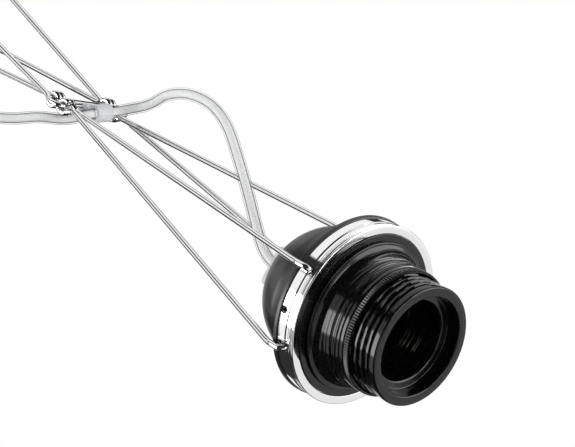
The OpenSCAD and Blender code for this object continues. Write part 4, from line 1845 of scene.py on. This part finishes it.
@dataclass
class LampShell:
    """The lamp thread's shell: a thin dark sleeve with a wide, shallow round thread."""

    outer: float = 13.75
    inner: float = 13.6
    top: float = 1.48
    bottom: float = -16.2
    pitch: float = 3.6
    depth: float = 0.16

    def outline(self) -> Array:
        """The sleeve's section with a dense inner wall.

        Returns:
            A closed (n, 2) outline of radius and height.
        """
        z = np.arange(self.bottom + 0.3, self.top - 0.3, 0.25)
        inside = np.stack([np.full_like(z, self.inner), z], -1)
        return np.concatenate([inside, [[self.inner, self.top], [self.outer, self.top],
                                        [self.outer, self.bottom], [self.inner, self.bottom]]])

    def build(self) -> bpy.types.Object:
        """Makes the sleeve; the thread's radius is inner + depth (1 + cos phase) / 2.

        Returns:
            The sleeve.
        """
        def wave(r: Array, z: Array, a: Array) -> Array:
            """The lamp thread's round wave along the inner wall.

            Args:
                r: the outline's radius.
                z: the height.
                a: the angle in radians.

            Returns:
                The new radius.
            """
            phase = 2 * math.pi * (z / self.pitch - a / (2 * math.pi))
            inside = (r < self.inner + NEAR) & (z > self.bottom + 0.2) & (z < self.top - 0.2)
            return np.where(inside, r - self.depth * (1 + np.cos(phase)) / 2, r)

        sleeve = lathe("lamp_shell_sleeve", self.outline(), HELD, 160, wave)
        return dress(sleeve, BARREL_BLACK, Body.HOLDER, "lamp_shell")


@dataclass
class ShadeFitting:
    """The thin washer and the knurled ring that clamp a shade."""

    bore_r: float = 20.0
    washer_r: float = 27.1
    washer_front: float = -0.4
    washer_t: float = 1.0
    flange_r: float = 24.9
    back: float = -0.5
    length: float = 14.8
    knurls: int = 144
    knurl_depth: float = 0.25
    cove: tuple[float, float, float, float] = (24.0, 2.25, -1.62, 3.2)  # r, narrowing, z, drop
    neck: tuple[tuple[float, float, float], ...] = (
        (21.72, -4.9, 0.0), (21.66, -5.8, 0.04), (21.56, -5.87, 0.04), (21.64, -5.95, 0.04),
        (21.5, -7.45, 0.25), (20.95, -7.8, 0.15), (20.92, -8.65, 0.15), (21.3, -8.9, 0.15),
        (21.3, -9.5, 0.15), (20.9, -9.75, 0.15))

    @property
    def knurl_r(self) -> float:
        """Radius over the knurls."""
        return self.bore_r + 1.05

    def washer(self) -> bpy.types.Object:
        """The washer, with an eased rim.

        Returns:
            The washer.
        """
        low, high = self.washer_front, self.washer_front + self.washer_t
        outline = rounded_profile([(self.bore_r, low, 0.1), (self.washer_r, low, 0.2),
                                   (self.washer_r, high, 0.3), (self.bore_r, high, 0.1)], 5)
        return dress(lathe("shade_washer_disc", outline, HELD, 224), BARREL_BLACK, Body.WASHER,
                     "shade_washer")

    def ring_outline(self) -> Array:
        """The ring's section: flange, hollow cove, grooved neck, bead and knurled band.

        Returns:
            A closed (n, 2) outline of radius and height.
        """
        front = self.back - self.length
        bead = front + 3.4
        t = np.radians(np.arange(8.0, 90.0, 7.0))
        top_r, narrow, top_z, drop = self.cove
        cove = np.stack([top_r - narrow * np.sin(t), top_z - drop * (1 - np.cos(t))], -1)
        lead = rounded_profile([(self.bore_r, self.back, 0.0), (self.flange_r, self.back, 0.3),
                                (self.flange_r, self.back - 0.95, 0.42),
                                (top_r, self.back - 1.02, 0.3),
                                (top_r - 0.2, self.back - 1.12, 0.0)], 4)
        k, b = self.knurl_r, self.bore_r
        body = rounded_profile([
            *self.neck, (b + 0.85, bead + 1.2, 0.2),
            (b + 0.6, bead + 1.0, 0.1), (k, bead + 0.75, 0.35),
            (k, bead - 0.75, 0.35), (b + 0.7, bead - 1.0, 0.1),
            (b + 0.7, front + 2.25, 0.0), (k, front + 2.05, 0.0),
            (k, front + 0.35, 0.0), (k - 0.3, front + 0.05, 0.0),
            (b + 0.3, front, 0.1), (b, front + 0.3, 0.1)], 3)
        return np.concatenate([lead[:-1], cove, body])

    def ring(self) -> bpy.types.Object:
        """The ring, its knurls cut as fine flutes into the front band.

        Returns:
            The ring.
        """
        front = self.back - self.length

        def flutes(r: Array, z: Array, a: Array) -> Array:
            """Radius less depth times |sin(n a / 2)|, on the knurled band only.

            Args:
                r: the outline's radius.
                z: the height.
                a: the angle in radians.

            Returns:
                The new radius.
            """
            band = (z > front + 0.3) & (z < front + 2.1) & (r > self.knurl_r - 0.02)
            cut = self.knurl_depth * np.abs(np.sin(self.knurls * a / 2))
            return np.where(band, r - self.knurl_depth + cut, r)

        ring = lathe("shade_ring_turned", self.ring_outline(), HELD, self.knurls * 6, flutes)
        return dress(ring, BARREL_BLACK, Body.SHADE_RING, "shade_ring")

    def build(self) -> list[bpy.types.Object]:
        """Makes the washer and the ring."""
        return [self.washer(), self.ring()]


@dataclass
class Fittings:
    """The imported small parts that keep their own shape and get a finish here."""

    finishes: dict[str, Finish] = field(default_factory=lambda: {
        "grub_screw_a": DARK_STEEL, "grub_screw_b": DARK_STEEL, "grip_screw": SCREW_STEEL,
        "nipple": SCREW_STEEL, "nipple_nut": SCREW_STEEL, "contact_block": BLOCK_DARK,
        "side_contact": BRASS, "terminal_live": BRASS, "terminal_neutral": BRASS,
        "terminal_screw_live": SCREW_STEEL, "terminal_screw_neutral": SCREW_STEEL,
        "core_live": CORE_BROWN, "core_neutral": CORE_BLUE, "centre_contact": BRASS})

    def build(self, nodes: dict[str, bpy.types.Object]) -> None:
        """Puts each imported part's finish on its own material slot.

        Args:
            nodes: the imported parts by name.
        """
        for name, finish in self.finishes.items():
            thing = nodes[name]
            thing.data.materials.clear()
            thing.data.materials.append(finish.build())
            log.info("%s: %s", name, finish.name)


# ---- Camera, floor and light ----


@dataclass(frozen=True)
class Softbox:
    """A bright panel of the studio, as polished parts reflect it.

    It spans azimuths within half degrees of its own and heights from low to high degrees, with
    edges that fade over edge degrees to either side.
    """

    azimuth: float
    half: float
    low: float
    high: float
    level: float
    edge: float = 2.0

    def weight(self, n: Nodes, flat: bpy.types.NodeSocket, height: bpy.types.NodeSocket
               ) -> bpy.types.NodeSocket:
        """Level times a smooth box in azimuth and height.

        Args:
            n: the world's nodes.
            flat: the direction's level part, of length one.
            height: the direction's sine of elevation.

        Returns:
            The panel's share of the light.
        """
        a = math.radians(self.azimuth)
        dot = n.add("ShaderNodeVectorMath", operation="DOT_PRODUCT")
        n.link(flat, dot.inputs[0])
        dot.inputs[1].default_value = (math.cos(a), math.sin(a), 0.0)
        outer = math.cos(math.radians(min(180.0, self.half + self.edge)))
        inner = math.cos(math.radians(max(0.5, self.half - self.edge)))
        across = n.ramp(dot.outputs["Value"], outer, inner, 0.0, self.level)
        rise = n.ramp(height, *self.sines(self.low))
        fall = n.ramp(height, *self.sines(self.high), 1.0, 0.0)
        return n.math("MULTIPLY", across, n.math("MULTIPLY", rise, fall))

    def sines(self, angle: float) -> tuple[float, float]:
        """Sines of the heights where an edge's fade starts and ends.

        Args:
            angle: the edge's height in degrees.

        Returns:
            Two sines, the lower first.
        """
        return (math.sin(math.radians(max(-90.0, angle - self.edge))),
                math.sin(math.radians(min(90.0, angle + self.edge))))


@dataclass(frozen=True)
class AreaLamp:
    """A soft rectangular lamp: its direction in degrees, its sides in metres, its radiance."""

    name: str
    azimuth: float
    height: float
    width: float
    depth: float
    radiance: float

    def build(self, aim: tuple[float, float, float], reach: float) -> bpy.types.Object:
        """Makes the lamp, turned to face a point; its power is radiance times pi times area.

        Args:
            aim: the point it faces, in metres.
            reach: its distance from that point, in metres.

        Returns:
            The lamp.
        """
        data = bpy.data.lights.new(self.name, "AREA")
        data.shape, data.size, data.size_y = "RECTANGLE", self.width, self.depth
        data.energy = self.radiance * math.pi * self.width * self.depth
        lamp = bpy.data.objects.new(self.name, data)
        lamp.visible_camera = False
        bpy.context.scene.collection.objects.link(lamp)
        a, e = math.radians(self.azimuth), math.radians(self.height)
        away = Vector((math.cos(e) * math.cos(a), math.cos(e) * math.sin(a), math.sin(e)))
        lamp.location = Vector(aim) + away * reach
        lamp.rotation_euler = away.to_track_quat("Z", "Y").to_euler()
        return lamp


@dataclass
class Studio:
    """Camera, pale floor and a plain soft studio."""

    eye: tuple[float, float, float] = (-0.697829, -0.331615, -1.281961)
    right: tuple[float, float, float] = (0.83368, -0.26389, -0.48512)
    up: tuple[float, float, float] = (-0.08838, -0.93088, 0.35448)
    forward: tuple[float, float, float] = (0.54513, 0.25264, 0.79938)
    lens: float = 250.43
    clip: tuple[float, float] = (0.05, 50.0)  # metres
    floor_z: float = -1900.0  # millimetres, as the floor's other size
    floor_half: float = 60000.0
    floor_grey: float = 0.85
    floor_rough: float = 0.9
    floor_lift: float = 0.36
    aim: tuple[float, float, float] = (0.0, 0.0, -0.31)
    reach: float = 1.6
    glossy: float = 0.03
    diffuse: float = 0.74
    panels: tuple[Softbox, ...] = (
        Softbox(163.0, 43.0, 3.0, 34.0, 1.0),
        Softbox(176.0, 33.0, 38.0, 82.0, 1.0),
        Softbox(275.0, 50.0, 24.0, 44.0, 1.0),
        Softbox(283.0, 37.0, 44.0, 82.0, 1.0),
        Softbox(28.0, 44.0, 40.0, 82.0, 0.95),
        Softbox(328.0, 40.0, -60.0, 6.0, 1.0, 8.0),
        Softbox(16.0, 34.0, -48.0, -6.0, 0.86),
        Softbox(60.0, 120.0, -91.0, -58.0, 0.9, 8.0),
    )
    lamps: tuple[AreaLamp, ...] = (
        AreaLamp("key", 166.0, 18.0, 0.95, 0.75, 6.5),
        AreaLamp("fill", 328.0, -31.0, 1.4, 1.1, 3.4),
        AreaLamp("low", 307.0, -66.0, 0.5, 0.5, 6.0),
    )

    def camera(self) -> bpy.types.Object:
        """Makes the camera and sets it as the scene's.

        Returns:
            The camera.
        """
        data = bpy.data.cameras.new("camera")
        data.lens, data.sensor_width, data.sensor_fit = self.lens, 36.0, "HORIZONTAL"
        data.clip_start, data.clip_end = self.clip
        camera = bpy.data.objects.new("camera", data)
        bpy.context.scene.collection.objects.link(camera)
        camera.matrix_world = Matrix([
            (self.right[i], self.up[i], -self.forward[i], self.eye[i]) for i in range(3)
        ] + [(0.0, 0.0, 0.0, 1.0)])
        bpy.context.scene.camera = camera
        bpy.context.scene.view_settings.view_transform = "Standard"
        return camera

    def floor(self) -> bpy.types.Object:
        """A wide pale floor under the object, lifted towards white for camera rays only.

        Returns:
            The floor.
        """
        s, z = self.floor_half, self.floor_z
        corners = np.array([[-s, -s, z], [s, -s, z], [s, s, z], [-s, s, z]])
        floor = mesh_object("floor", corners, [(0, 1, 2, 3)], None)
        material = bpy.data.materials.new("floor_pale")
        material.use_nodes = True
        shader = next(x for x in material.node_tree.nodes if x.type == "BSDF_PRINCIPLED")
        shader.inputs["Base Color"].default_value = (*[self.floor_grey] * 3, 1.0)
        shader.inputs["Roughness"].default_value = self.floor_rough
        n = Nodes(material.node_tree)
        seen = n.add("ShaderNodeLightPath").outputs["Is Camera Ray"]
        n.link(n.math("MULTIPLY", seen, self.floor_lift), shader.inputs["Emission Color"])
        shader.inputs["Emission Strength"].default_value = 1.0
        floor.data.materials.append(material)
        floor.visible_glossy = False
        return floor

    def world(self) -> None:
        """The studio that surrounds the object.

        Camera and transmission rays see plain white. Glossy rays see a dim room and the panels,
        added up and held at white at most. All other rays see one even level.
        """
        world = bpy.data.worlds.new("studio")
        bpy.context.scene.world = world
        world.use_nodes = True
        world.node_tree.nodes.clear()
        n = Nodes(world.node_tree)
        out = n.add("ShaderNodeOutputWorld")
        ground = n.add("ShaderNodeBackground")
        rays = n.add("ShaderNodeLightPath")
        coord = n.add("ShaderNodeTexCoord").outputs["Generated"]
        split = n.add("ShaderNodeSeparateXYZ")
        n.link(coord, split.inputs[0])
        lying = n.add("ShaderNodeCombineXYZ")
        n.link(split.outputs["X"], lying.inputs["X"])
        n.link(split.outputs["Y"], lying.inputs["Y"])
        flat = n.add("ShaderNodeVectorMath", operation="NORMALIZE")
        n.link(lying.outputs[0], flat.inputs[0])
        level: bpy.types.NodeSocket | float = self.glossy
        for panel in self.panels:
            share = panel.weight(n, flat.outputs["Vector"], split.outputs["Z"])
            level = n.math("ADD", share, level)
        level = n.math("MINIMUM", level, 1.0)
        seen = n.math("ADD", rays.outputs["Is Camera Ray"], rays.outputs["Is Transmission Ray"],
                      clamp=True)
        unseen = n.math("SUBTRACT", 1.0, seen)
        gloss = n.math("MULTIPLY", rays.outputs["Is Glossy Ray"], unseen)
        rest = n.math("SUBTRACT", unseen, gloss)
        total = n.math("ADD", n.math("ADD", seen, n.math("MULTIPLY", gloss, level)),
                       n.math("MULTIPLY", rest, self.diffuse))
        n.link(total, ground.inputs["Strength"])
        ground.inputs["Color"].default_value = (1.0, 1.0, 1.0, 1.0)
        n.link(ground.outputs[0], out.inputs["Surface"])

    def build(self) -> None:
        """Makes the floor, the world and the lamps."""
        self.floor()
        self.world()
        for lamp in self.lamps:
            lamp.build(self.aim, self.reach)


def main(frame: dict) -> None:
    """Builds every sub-assembly in order and reports each piece.
    """
    logging.basicConfig(level=logging.INFO, format="%(message)s")
    studio = Studio()
    studio.camera()
    cords = Cord().build()
    log.info("cords: %s", ", ".join(c.name for c in cords))
    for part in (Rods(), Link(), HookRing(), DomeCap(), Grip(), Barrel(), ShadeFitting()):
        made = part.build()
        log.info("%s: %d pieces", type(part).__name__, len(made))
    Fittings().build(frame["nodes"])
    studio.build()


if __name__ == "__main__":
    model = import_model()
    main(model)
